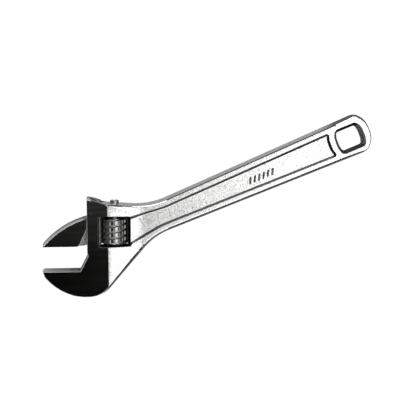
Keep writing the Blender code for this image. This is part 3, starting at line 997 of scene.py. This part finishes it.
def buildPin():
    s = pinShape
    low, top = [corner.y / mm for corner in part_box("worm_pin")]
    seat, rim = top - s["headHeight"], top - s["headDome"]
    chamfer = s["seatChamfer"]
    profile = [(s["radius"] - s["tipChamfer"], low), (s["radius"], low + s["tipChamfer"]),
               (s["radius"], seat), (s["headRadius"] - chamfer, seat),
               (s["headRadius"], seat + chamfer)]
    for step in range(s["rimSteps"] + 1):
        share = step / s["rimSteps"]
        angle = math.radians(s["rimTurn"] * share)
        edge = s["headRadius"] - s["rimRound"] * (1 - math.cos(angle)) - s["rimTaper"] * share ** 2
        profile.append((edge, rim - s["rimRound"] * (1 - math.sin(angle))))
    for share in s["crownShares"]:
        profile.append((s["headRadius"] * share * s["crownWidth"],
                        top - s["headDome"] * share * share))
    piece = newPiece("wormPin", turnedSolid(profile, wormMiddle.x, s["sides"]))
    half, reach = s["slotWidth"] / 2, s["headRadius"] + overlap
    left, right, floor = wormMiddle.x - half, wormMiddle.x + half, top - s["slotDepth"]
    outline = [(left, floor), (right, floor), (right, top + overlap), (left, top + overlap)]
    combine(piece, newPiece("pinSlot", slab(outline, -reach, reach)), "DIFFERENCE")
    dressEdges(piece, lambda middle: s["edge"], segments=2, sharpest=50.0)
    smoothShade(piece)
    return piece


wormPin = buildPin()
print("pin built:", len(wormPin.data.polygons), "faces")

springShape = {
    "wire": 0.35,
    "mean": 3.4,
    "turns": 3.5,
    "sides": 14,
    "stepsPerTurn": 44,
}


def buildSpring():
    s = springShape
    low, high = [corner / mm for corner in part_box("worm_spring")]
    bottom, top = low.y + s["wire"], high.y - s["wire"]
    steps = round(s["turns"] * s["stepsPerTurn"])
    rings = []
    for step in range(steps + 1):
        share = step / steps
        angle = fullTurn * s["turns"] * share
        outwards = Vector((math.sin(angle), 0.0, math.cos(angle)))
        centre = Vector((wormMiddle.x, bottom + (top - bottom) * share, 0.0)) + outwards * s["mean"]
        ring = []
        for side in range(s["sides"]):
            turn = fullTurn * side / s["sides"]
            ring.append(centre + (outwards * math.cos(turn) + Vector((0.0, math.sin(turn), 0.0)))
                        * s["wire"])
        rings.append(ring)
    piece = newPiece("wormSpring", skinned(rings))
    shadeRound(piece)
    return piece


wormSpring = buildSpring()
print("spring built:", len(wormSpring.data.polygons), "faces")

markShape = {
    "along": 155.2,
    "across": -1.2,
    "bars": 6,
    "pitch": 3.4,
    "barLength": 1.3,
    "height": 4.4,
    "slant": 0.5,
    "raise": 0.75,
    "rooted": 0.3,
    "footSpread": 0.2,
    "crownInset": 0.6,
    "lip": 0.02,
    "flankLimit": 0.9,
}


def buildMark():
    # plain raised ornament on the panel's floor: a row of slanting bars, with no lettering
    s = markShape
    mesh = bmesh.new()
    floor = bodyShape["handleThickness"] / 2 - panelShape["depth"]
    top = floor + s["raise"]
    for bar in range(s["bars"]):
        middle = s["along"] + s["pitch"] * (bar - (s["bars"] - 1) / 2)
        rings = []
        for inset, z in ((-s["footSpread"], floor - s["rooted"]),
                         (-s["footSpread"], floor + s["lip"]),
                         (0.0, top - s["crownInset"]), (s["crownInset"], top)):
            rings.append([(p[0], p[1], z) for p in markBar(middle, inset)])
        skinned(rings, mesh)
    piece = newPiece("panelMark", mesh)
    smoothShade(piece)
    # painted shade: the bars' steep flanks are painted nearly black
    markPaintedShade(piece, lambda middle, normal: 1.0 if abs(normal.z) < s["flankLimit"] else 0.0)
    return piece


def markBar(middle, inset, steps=32):
    # rounded slanting bar about a point along the handle, moved in by inset
    s = markShape
    outline = []
    for step in range(steps):
        angle = fullTurn * step / steps
        cosine, sine = math.cos(angle), math.sin(angle)
        along = math.copysign(abs(cosine) ** 0.5 * (s["barLength"] / 2 - inset), cosine)
        across = math.copysign(abs(sine) ** 0.5 * (s["height"] / 2 - inset), sine)
        outline.append(onHandle(middle + along + across * s["slant"], s["across"] + across))
    return outline


panelMark = buildMark()
print("panel mark built:", len(panelMark.data.polygons), "faces")


def newGroup(name, inputs, outputs):
    # shader node group with named sockets; inputs are (name, type, value)
    group = bpy.data.node_groups.new(name, "ShaderNodeTree")
    for socketName, kind, value in inputs:
        socket = group.interface.new_socket(name=socketName, in_out="INPUT", socket_type=kind)
        if value is not None:
            socket.default_value = value
    for socketName, kind in outputs:
        group.interface.new_socket(name=socketName, in_out="OUTPUT", socket_type=kind)
    start = group.nodes.new("NodeGroupInput")
    end = group.nodes.new("NodeGroupOutput")
    return group, start.outputs, end.inputs


def mathNode(tree, operation, first, second=None, third=None):
    node = tree.nodes.new("ShaderNodeMath")
    node.operation = operation
    for socket, value in zip(node.inputs, (first, second, third)):
        plug(tree, value, socket)
    return node.outputs[0]


def plug(tree, value, socket):
    if value is None:
        return
    if isinstance(value, bpy.types.NodeSocket):
        tree.links.new(value, socket)
    else:
        socket.default_value = value


def noiseNode(tree, vector, scale, detail=3.0, roughness=0.55):
    node = tree.nodes.new("ShaderNodeTexNoise")
    plug(tree, vector, node.inputs["Vector"])
    plug(tree, scale, node.inputs["Scale"])
    node.inputs["Detail"].default_value = detail
    node.inputs["Roughness"].default_value = roughness
    return node.outputs["Fac"]


def rangeNode(tree, value, low, high, newLow=0.0, newHigh=1.0):
    node = tree.nodes.new("ShaderNodeMapRange")
    node.clamp = True
    for socket, amount in zip(node.inputs[:5], (value, low, high, newLow, newHigh)):
        plug(tree, amount, socket)
    return node.outputs[0]


def mixNode(tree, kind, sockets, share, first, second):
    node = tree.nodes.new("ShaderNodeMix")
    node.data_type = kind
    for index, value in zip(sockets, (share, first, second)):
        plug(tree, value, node.inputs[index])
    return node


def mixNumbers(tree, share, first, second):
    return mixNode(tree, "FLOAT", (0, 2, 3), share, first, second).outputs[0]


def mixColours(tree, share, first, second):
    return mixNode(tree, "RGBA", (0, 6, 7), share, first, second).outputs[2]


def meshValue(tree, name):
    node = tree.nodes.new("ShaderNodeAttribute")
    node.attribute_name = name
    return node.outputs["Fac"]


def turnedNode(tree, vector, angle):
    node = tree.nodes.new("ShaderNodeVectorRotate")
    node.rotation_type = "Z_AXIS"
    node.inputs["Angle"].default_value = angle
    plug(tree, vector, node.inputs["Vector"])
    return node.outputs[0]


def axesNode(tree, vector):
    node = tree.nodes.new("ShaderNodeSeparateXYZ")
    plug(tree, vector, node.inputs[0])
    return node.outputs


def stretch(tree, vector, amounts):
    node = tree.nodes.new("ShaderNodeVectorMath")
    node.operation = "MULTIPLY"
    plug(tree, vector, node.inputs[0])
    node.inputs[1].default_value = amounts
    return node.outputs[0]


effects = {
    "grain": {"coarseScale": 0.32, "pitScale": 0.5, "pitRange": (0.55, 0.85), "coarseShare": 0.08},
    "lines": {"stretch": (0.03, 1.0, 0.3), "broadScale": 0.22},
    "wear": {"patchScale": 180.0, "range": (0.35, 0.6)},
    "handling": {"cloudScale": 45.0, "cloudRange": (0.35, 0.7), "turn": 0.6,
                 "stretch": (0.06, 1.0, 0.4), "streakScale": 900.0, "streakRange": (0.7, 0.73),
                 "whereScale": 120.0, "whereRange": (0.55, 0.62)},
}


def grainGroup():
    # the fine pebbled skin of a blasted and plated forging, with sparse shallow pits
    e = effects["grain"]
    group, given, made = newGroup("forgedGrain", [
        ("Vector", "NodeSocketVector", None), ("Grain Size", "NodeSocketFloat", 1400.0),
        ("Pit Depth", "NodeSocketFloat", 0.3)],
        [("Height", "NodeSocketFloat"), ("Value", "NodeSocketFloat")])
    size = given["Grain Size"]
    fine = noiseNode(group, given["Vector"], size, 2.0, 0.5)
    coarse = noiseNode(group, given["Vector"], mathNode(group, "MULTIPLY", size, e["coarseScale"]),
                       2.0, 0.5)
    pits = noiseNode(group, given["Vector"], mathNode(group, "MULTIPLY", size, e["pitScale"]),
                     1.0, 0.4)
    pitDepth = mathNode(group, "MULTIPLY", rangeNode(group, pits, *e["pitRange"]),
                        given["Pit Depth"])
    skin = mixNumbers(group, e["coarseShare"], fine, coarse)
    group.links.new(mathNode(group, "SUBTRACT", skin, pitDepth), made["Height"])
    group.links.new(fine, made["Value"])
    return group


def linesGroup():
    # close parallel marks of a grinding belt
    e = effects["lines"]
    group, given, made = newGroup("grindingLines", [
        ("Vector", "NodeSocketVector", None), ("Fineness", "NodeSocketFloat", 2600.0)],
        [("Height", "NodeSocketFloat"), ("Value", "NodeSocketFloat")])
    along = stretch(group, given["Vector"], e["stretch"])
    lines = noiseNode(group, along, given["Fineness"], 2.0, 0.6)
    broadScale = mathNode(group, "MULTIPLY", given["Fineness"], e["broadScale"])
    broad = noiseNode(group, along, broadScale, 2.0, 0.5)
    group.links.new(mixNumbers(group, 0.5, lines, broad), made["Height"])
    group.links.new(broad, made["Value"])
    return group


def wearGroup():
    # edges rubbed bright, broken up so that the line is never even
    e = effects["wear"]
    group, given, made = newGroup("rubbedEdges", [
        ("Vector", "NodeSocketVector", None), ("Reach", "NodeSocketFloat", 0.5)],
        [("Mask", "NodeSocketFloat")])
    patches = noiseNode(group, given["Vector"], e["patchScale"], 3.0, 0.6)
    broken = mathNode(group, "ADD", patches, mathNode(group, "SUBTRACT", given["Reach"], 0.5))
    mask = mathNode(group, "MULTIPLY", meshValue(group, "edge"),
                    rangeNode(group, broken, *e["range"]))
    group.links.new(mask, made["Mask"])
    return group


def handlingGroup():
    # faint cloudy film from handling, and a few short scratches
    e = effects["handling"]
    group, given, made = newGroup("handlingMarks", [
        ("Vector", "NodeSocketVector", None), ("Scratches", "NodeSocketFloat", 0.5)],
        [("Film", "NodeSocketFloat"), ("Scratch", "NodeSocketFloat")])
    cloud = noiseNode(group, given["Vector"], e["cloudScale"], 4.0, 0.6)
    group.links.new(rangeNode(group, cloud, *e["cloudRange"]), made["Film"])
    along = stretch(group, turnedNode(group, given["Vector"], e["turn"]), e["stretch"])
    streaks = noiseNode(group, along, e["streakScale"], 1.0, 0.3)
    where = noiseNode(group, given["Vector"], e["whereScale"], 1.0, 0.4)
    scratch = mathNode(group, "MULTIPLY", rangeNode(group, streaks, *e["streakRange"]),
                       rangeNode(group, where, *e["whereRange"]))
    group.links.new(mathNode(group, "MULTIPLY", scratch, given["Scratches"]), made["Scratch"])
    return group


groups = {"grain": grainGroup(), "lines": linesGroup(), "wear": wearGroup(),
          "handling": handlingGroup()}


def useGroup(tree, name, vector, values):
    node = tree.nodes.new("ShaderNodeGroup")
    node.node_tree = groups[name]
    tree.links.new(vector, node.inputs["Vector"])
    for socketName, value in values.items():
        plug(tree, value, node.inputs[socketName])
    return node.outputs


def newMaterial(name):
    material = bpy.data.materials.new(name)
    material.use_nodes = True
    tree = material.node_tree
    place = tree.nodes.new("ShaderNodeTexCoord").outputs["Object"]
    shader = tree.nodes["Principled BSDF"]
    return material, tree, place, shader


def reliefNode(tree, height, depth, strength=1.0):
    node = tree.nodes.new("ShaderNodeBump")
    node.inputs["Strength"].default_value = strength
    node.inputs["Distance"].default_value = depth * mm
    tree.links.new(height, node.inputs["Height"])
    return node.outputs["Normal"]


chromeLook = {
    "satin": (0.89, 0.89, 0.885, 1.0),
    "satinDeep": (0.42, 0.42, 0.41, 1.0),
    "ground": (0.36, 0.36, 0.345, 1.0),
    "groundLight": (0.62, 0.62, 0.60, 1.0),
    "bright": (0.93, 0.935, 0.94, 1.0),
    # painted shade: near-black colour painted on the walls that the mesh marks for shade
    "paintedShade": (0.03, 0.03, 0.029, 1.0),
    "speckRange": (0.37, 0.52),
    "lineRange": (0.35, 0.65),
    "satinRoughness": 0.20,
    "grainRoughness": 0.10,
    "filmRoughness": 0.05,
    "rubbedRoughness": 0.16,
    "groundRoughness": 0.06,
    "groundFilm": 0.02,
    "scratchRoughness": 0.12,
    "grainDepth": 0.12,
    "paintedShadeGrain": 0.3,
    "lineDepth": 0.003,
    "pitDepth": 0.06,
    "fineness": 2600.0,
    "wearReach": 0.55,
    "bandBow": 0.18,  # how the ground band's right edge draws back towards the head's top
    "bandFade": (-0.05, 0.1),
    "levelFade": (0.015, 0.005),
}


def groundMask(tree, place):
    # 1 on the flat faces that a belt has ground: level with the head and left of the slope
    look = chromeLook
    x, y, z = axesNode(tree, place)
    low, high = [(bodyShape["headThickness"] / 2 - fade) * mm for fade in look["levelFade"]]
    level = rangeNode(tree, mathNode(tree, "ABSOLUTE", z), low, high)
    above = mathNode(tree, "ADD", y, bodyShape["jawDepth"] * mm)
    bow = mathNode(tree, "MULTIPLY", mathNode(tree, "POWER", above, 2.0), look["bandBow"])
    limit = mathNode(tree, "SUBTRACT", bodyShape["slopeStart"] * mm, bow)
    low, high = [fade * mm for fade in look["bandFade"]]
    inside = rangeNode(tree, mathNode(tree, "SUBTRACT", limit, x), low, high)
    return mathNode(tree, "MULTIPLY", level, inside)


def chromeMaterial(name, grainSize, scratches):
    look = chromeLook
    material, tree, place, shader = newMaterial(name)
    grain = useGroup(tree, "grain", place, {"Grain Size": grainSize, "Pit Depth": look["pitDepth"]})
    lines = useGroup(tree, "lines", place, {"Fineness": look["fineness"]})
    wear = useGroup(tree, "wear", place, {"Reach": look["wearReach"]})
    handling = useGroup(tree, "handling", place, {"Scratches": scratches})
    ground = groundMask(tree, place)
    paintedShade = meshValue(tree, "paintedShade")
    # faces with no painted shade; edge wear is kept off the painted shade
    unshaded = mathNode(tree, "SUBTRACT", 1.0, paintedShade)
    rubbed = mathNode(tree, "MULTIPLY", wear["Mask"], unshaded)

    speck = rangeNode(tree, grain["Value"], *look["speckRange"])
    satin = mixColours(tree, speck, look["satinDeep"], look["satin"])
    satin = mixColours(tree, rubbed, satin, look["bright"])
    # painted shade: where the mesh marks shade, the satin colour is painted nearly black
    satin = mixColours(tree, paintedShade, satin, look["paintedShade"])
    lined = rangeNode(tree, lines["Value"], *look["lineRange"])
    groundTone = mixColours(tree, lined, look["ground"], look["groundLight"])
    plug(tree, mixColours(tree, ground, satin, groundTone), shader.inputs["Base Color"])
    shader.inputs["Metallic"].default_value = 1.0

    def rougher(start, mask, amount):
        return mathNode(tree, "MULTIPLY_ADD", mask, amount, start)

    satinRough = rougher(look["satinRoughness"], grain["Value"], look["grainRoughness"])
    satinRough = rougher(satinRough, handling["Film"], look["filmRoughness"])
    satinRough = mixNumbers(tree, rubbed, satinRough, look["rubbedRoughness"])
    groundRough = rougher(look["groundRoughness"], handling["Film"], look["groundFilm"])
    groundRough = rougher(groundRough, handling["Scratch"], look["scratchRoughness"])
    plug(tree, mixNumbers(tree, ground, satinRough, groundRough), shader.inputs["Roughness"])

    grainShare = mixNumbers(tree, unshaded, look["paintedShadeGrain"], 1.0)
    grainHeight = mathNode(tree, "MULTIPLY", grain["Height"], grainShare)
    lineHeight = mathNode(tree, "MULTIPLY", lines["Height"], look["lineDepth"] / look["grainDepth"])
    height = mixNumbers(tree, ground, grainHeight, lineHeight)
    plug(tree, reliefNode(tree, height, look["grainDepth"]), shader.inputs["Normal"])
    return material


wormLook = {
    # painted shade on the crests and a painted reflection in the grooves
    "crest": (0.30, 0.30, 0.29, 1.0),
    "root": (0.92, 0.92, 0.90, 1.0),
    "oil": (0.36, 0.35, 0.33, 1.0),
    "oilShare": 0.25,
    "raisedRange": (0.15, 0.5),
    "roughness": 0.09,
    "grainRoughness": 0.08,
    "rootRoughness": 0.5,
    "grain": {"Grain Size": 2400.0, "Pit Depth": 0.2},
    "scratches": 0.4,
    "grainDepth": 0.012,
}


def wormMaterial():
    # crests painted dark (painted shade, for a dark reflection) over grooves painted pale (painted
    # reflection); the crests are polished and the grooves matt
    look = wormLook
    material, tree, place, shader = newMaterial("knurledSteel")
    grain = useGroup(tree, "grain", place, look["grain"])
    handling = useGroup(tree, "handling", place, {"Scratches": look["scratches"]})
    raised = rangeNode(tree, meshValue(tree, "edge"), *look["raisedRange"])
    oil = mathNode(tree, "MULTIPLY", handling["Film"], look["oilShare"])
    # painted light: crest colour dark and groove colour pale, following the depth
    tone = mixColours(tree, raised, look["root"], look["crest"])
    tone = mixColours(tree, oil, tone, look["oil"])
    plug(tree, tone, shader.inputs["Base Color"])
    shader.inputs["Metallic"].default_value = 1.0
    rough = mathNode(tree, "MULTIPLY_ADD", grain["Value"], look["grainRoughness"], look["roughness"])
    plug(tree, mixNumbers(tree, raised, look["rootRoughness"], rough), shader.inputs["Roughness"])
    plug(tree, reliefNode(tree, grain["Height"], look["grainDepth"]), shader.inputs["Normal"])
    return material


steelLook = {
    "grain": {"Grain Size": 2000.0, "Pit Depth": 0.15},
    "grainRoughness": 0.12,
    "wearReach": 0.6,
    "bright": (0.85, 0.85, 0.85, 1.0),
    "darker": 0.72,
    "markStretch": (0.05, 1.0, 0.05),
    "grainShare": 0.4,
    "markDepth": 0.012,
}


def steelMaterial(name, tone, roughness, ringScale):
    # turned or drawn steel with fine marks round its axis
    look = steelLook
    material, tree, place, shader = newMaterial(name)
    grain = useGroup(tree, "grain", place, look["grain"])
    wear = useGroup(tree, "wear", place, {"Reach": look["wearReach"]})
    marks = noiseNode(tree, stretch(tree, place, look["markStretch"]), ringScale, 2.0, 0.5)
    darker = tuple(channel * look["darker"] for channel in tone[:3]) + (1.0,)
    colour = mixColours(tree, marks, darker, tone)
    colour = mixColours(tree, wear["Mask"], colour, look["bright"])
    plug(tree, colour, shader.inputs["Base Color"])
    shader.inputs["Metallic"].default_value = 1.0
    rough = mathNode(tree, "MULTIPLY_ADD", grain["Value"], look["grainRoughness"], roughness)
    plug(tree, rough, shader.inputs["Roughness"])
    height = mixNumbers(tree, look["grainShare"], marks, grain["Height"])
    plug(tree, reliefNode(tree, height, look["markDepth"]), shader.inputs["Normal"])
    return material


def dress(piece, material, body, slotName, *nodes):
    piece.data.materials.clear()
    piece.data.materials.append(material)
    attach(piece, body)
    if nodes:
        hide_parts(*nodes)


satinChrome = chromeMaterial("satinChrome", 1750.0, 0.5)
jawChrome = chromeMaterial("jawChrome", 1850.0, 0.8)
dress(wrenchBody, satinChrome, "wrench_body", "chrome_plate", "body")
dress(panelMark, satinChrome, "wrench_body", "chrome_plate")
dress(movableJaw, jawChrome, "jaw", "chrome_plate_jaw", "movable_jaw")
dress(wormScrew, wormMaterial(), "worm_body", "knurled_steel", "worm")
dress(wormPin, steelMaterial("turnedSteel", (0.44, 0.44, 0.43, 1.0), 0.26, 900.0),
      "wrench_body", "pin_steel", "worm_pin")
dress(wormSpring, steelMaterial("springWire", (0.48, 0.48, 0.47, 1.0), 0.28, 1500.0),
      "wrench_body", "spring_steel", "worm_spring")
print("materials placed")

studio = {
    "floorDrop": 0.05,  # mm under the lowest point
    "floorSize": 6.0,
    "floorTone": 0.55,
    # painted shade: reflected rays see the floor this dark along the tool's lower side and past its end
    "paintedShadeTone": 0.16,
    "paintedShadeSide": (-2.0, 6.0),
    "shadowTone": 0.06,
    "floorGlow": 1.0,
    # painted shadow: the camera sees the floor this dim under the head's window
    "windowShadowGlow": 0.02,
    "paintedShadeEnd": (212.0, 220.0),
    "sky": 0.22,
    "skyLow": 0.18,
    "lowAngle": 20.0,
    "highAngle": 45.0,
    "flag": {"tilt": (-7.0, -10.0), "inner": 13.0, "outer": 17.0, "level": 0.006},
    "softboxes": [{"tilt": (24.5, -7.0), "inner": 15.0, "outer": 23.0, "level": 2.9},
                  {"tilt": (0.0, 50.0), "inner": 22.0, "outer": 30.0, "level": 2.8},
                  {"tilt": (0.0, -56.0), "inner": 22.0, "outer": 30.0, "level": 2.8},
                  {"tilt": (-3.0, 4.0), "inner": 2.0, "outer": 14.0, "level": 0.10}],
}


def byCamera(tree, others, seen):
    # the second shader for the camera's own rays, and the first for all others
    path = tree.nodes.new("ShaderNodeLightPath")
    choice = tree.nodes.new("ShaderNodeMixShader")
    for socket, source in zip(choice.inputs, (path.outputs["Is Camera Ray"], others, seen)):
        tree.links.new(source, socket)
    return choice.outputs[0]


def within(tree, value, low, high):
    # 1 between low and high and 0 outside them
    above = mathNode(tree, "GREATER_THAN", value, low - mm)
    return mathNode(tree, "MULTIPLY", above, mathNode(tree, "LESS_THAN", value, high + mm))


def floorMaterial():
    # the camera sees it white, with a painted shadow under the head's window; other rays see a grey
    # floor with painted shade along the tool's lower side and past its end
    material = bpy.data.materials.new("paleFloor")
    material.use_nodes = True
    tree = material.node_tree
    tree.nodes.clear()
    place = tree.nodes.new("ShaderNodeTexCoord").outputs["Object"]
    toHandle = turnedNode(tree, place, -math.radians(bodyShape["handleAngle"]))
    along, across = axesNode(tree, toHandle)[:2]
    # painted shade: the floor seen in reflections is darker beside the tool's lower side and past the
    # handle's end
    sideLow, sideHigh = [edge * mm for edge in studio["paintedShadeSide"]]
    endLow, endHigh = [edge * mm for edge in studio["paintedShadeEnd"]]
    tones = studio["paintedShadeTone"], studio["floorTone"]
    beside = rangeNode(tree, across, sideLow, sideHigh, *tones)
    beyond = rangeNode(tree, along, endLow, endHigh, *reversed(tones))
    matte = tree.nodes.new("ShaderNodeBsdfDiffuse")
    plug(tree, mathNode(tree, "MINIMUM", beside, beyond), matte.inputs["Color"])

    plain = tree.nodes.new("ShaderNodeBsdfDiffuse")
    plain.inputs["Color"].default_value = (studio["shadowTone"],) * 3 + (1.0,)
    glow = tree.nodes.new("ShaderNodeEmission")
    # painted shadow: a dim patch on the floor under the head's window
    x, y = axesNode(tree, place)[:2]
    left, right, low, high = [edge * mm for edge in windowSides()]
    shade = mathNode(tree, "MULTIPLY", within(tree, x, left, right), within(tree, y, low, high))
    strength = mixNumbers(tree, shade, studio["floorGlow"], studio["windowShadowGlow"])
    plug(tree, strength, glow.inputs["Strength"])
    white = tree.nodes.new("ShaderNodeAddShader")
    tree.links.new(plain.outputs[0], white.inputs[0])
    tree.links.new(glow.outputs[0], white.inputs[1])
    out = tree.nodes.new("ShaderNodeOutputMaterial")
    chosen = byCamera(tree, matte.outputs[0], white.outputs[0])
    tree.links.new(chosen, out.inputs["Surface"])
    return material


def layFloor():
    lowest = cadBox[0].z - studio["floorDrop"] * mm
    half = studio["floorSize"] / 2
    data = bpy.data.meshes.new("floor")
    data.from_pydata([(-half, -half, lowest), (half, -half, lowest), (half, half, lowest),
                      (-half, half, lowest)], [], [(0, 1, 2, 3)])
    floor = bpy.data.objects.new("floor", data)
    bpy.context.scene.collection.objects.link(floor)
    floor.data.materials.append(floorMaterial())


def skySpot(tree, direction, spot):
    # 1 inside a round patch of the sky, tilted from straight up, and 0 outside it
    tiltX, tiltY = [math.radians(angle) for angle in spot["tilt"]]
    facing = tree.nodes.new("ShaderNodeVectorMath")
    facing.operation = "DOT_PRODUCT"
    tree.links.new(direction, facing.inputs[0])
    facing.inputs[1].default_value = Vector((math.tan(tiltX), math.tan(tiltY), 1.0)).normalized()
    return rangeNode(tree, facing.outputs["Value"], math.cos(math.radians(spot["outer"])),
                     math.cos(math.radians(spot["inner"])))


def hangSky():
    # dim sky with soft lights and a dark flag high over the head, all white to the camera
    world = bpy.data.worlds.new("studio")
    bpy.context.scene.world = world
    world.use_nodes = True
    tree = world.node_tree
    tree.nodes.clear()
    direction = tree.nodes.new("ShaderNodeTexCoord").outputs["Generated"]
    low, high = [math.sin(math.radians(studio[name])) for name in ("lowAngle", "highAngle")]
    rise = rangeNode(tree, axesNode(tree, direction)["Z"], low, high,
                     studio["skyLow"], studio["sky"])
    flag = skySpot(tree, direction, studio["flag"])
    strength = mixNumbers(tree, flag, rise, studio["flag"]["level"])
    for spot in studio["softboxes"]:
        glow = mathNode(tree, "MULTIPLY", skySpot(tree, direction, spot), spot["level"])
        strength = mathNode(tree, "ADD", strength, glow)
    light = tree.nodes.new("ShaderNodeBackground")
    tree.links.new(strength, light.inputs["Strength"])
    plain = tree.nodes.new("ShaderNodeBackground")
    plain.inputs["Color"].default_value = (1.0, 1.0, 1.0, 1.0)
    plain.inputs["Strength"].default_value = 1.0
    out = tree.nodes.new("ShaderNodeOutputWorld")
    chosen = byCamera(tree, light.outputs[0], plain.outputs[0])
    tree.links.new(chosen, out.inputs["Surface"])


cameraShape = {
    "place": (44.68, 126.10, 678.74),
    "turn": (-0.112664, -0.0771418, -0.00422021),
    "lens": 86.77,
    "sensor": 36.0,
}


def placeCamera():
    data = bpy.data.cameras.new("camera")
    data.lens = cameraShape["lens"]
    data.sensor_width = cameraShape["sensor"]
    data.clip_start, data.clip_end = 0.01, 20.0
    camera = bpy.data.objects.new("camera", data)
    bpy.context.scene.collection.objects.link(camera)
    turn = Vector(cameraShape["turn"])
    spin = Matrix.Rotation(turn.length, 4, turn.normalized())
    camera.matrix_world = Matrix.Translation(Vector(cameraShape["place"]) * mm) @ spin
    bpy.context.scene.camera = camera


layFloor()
hangSky()
placeCamera()
bpy.context.scene.view_settings.view_transform = "Standard"
print("floor, light and camera placed")
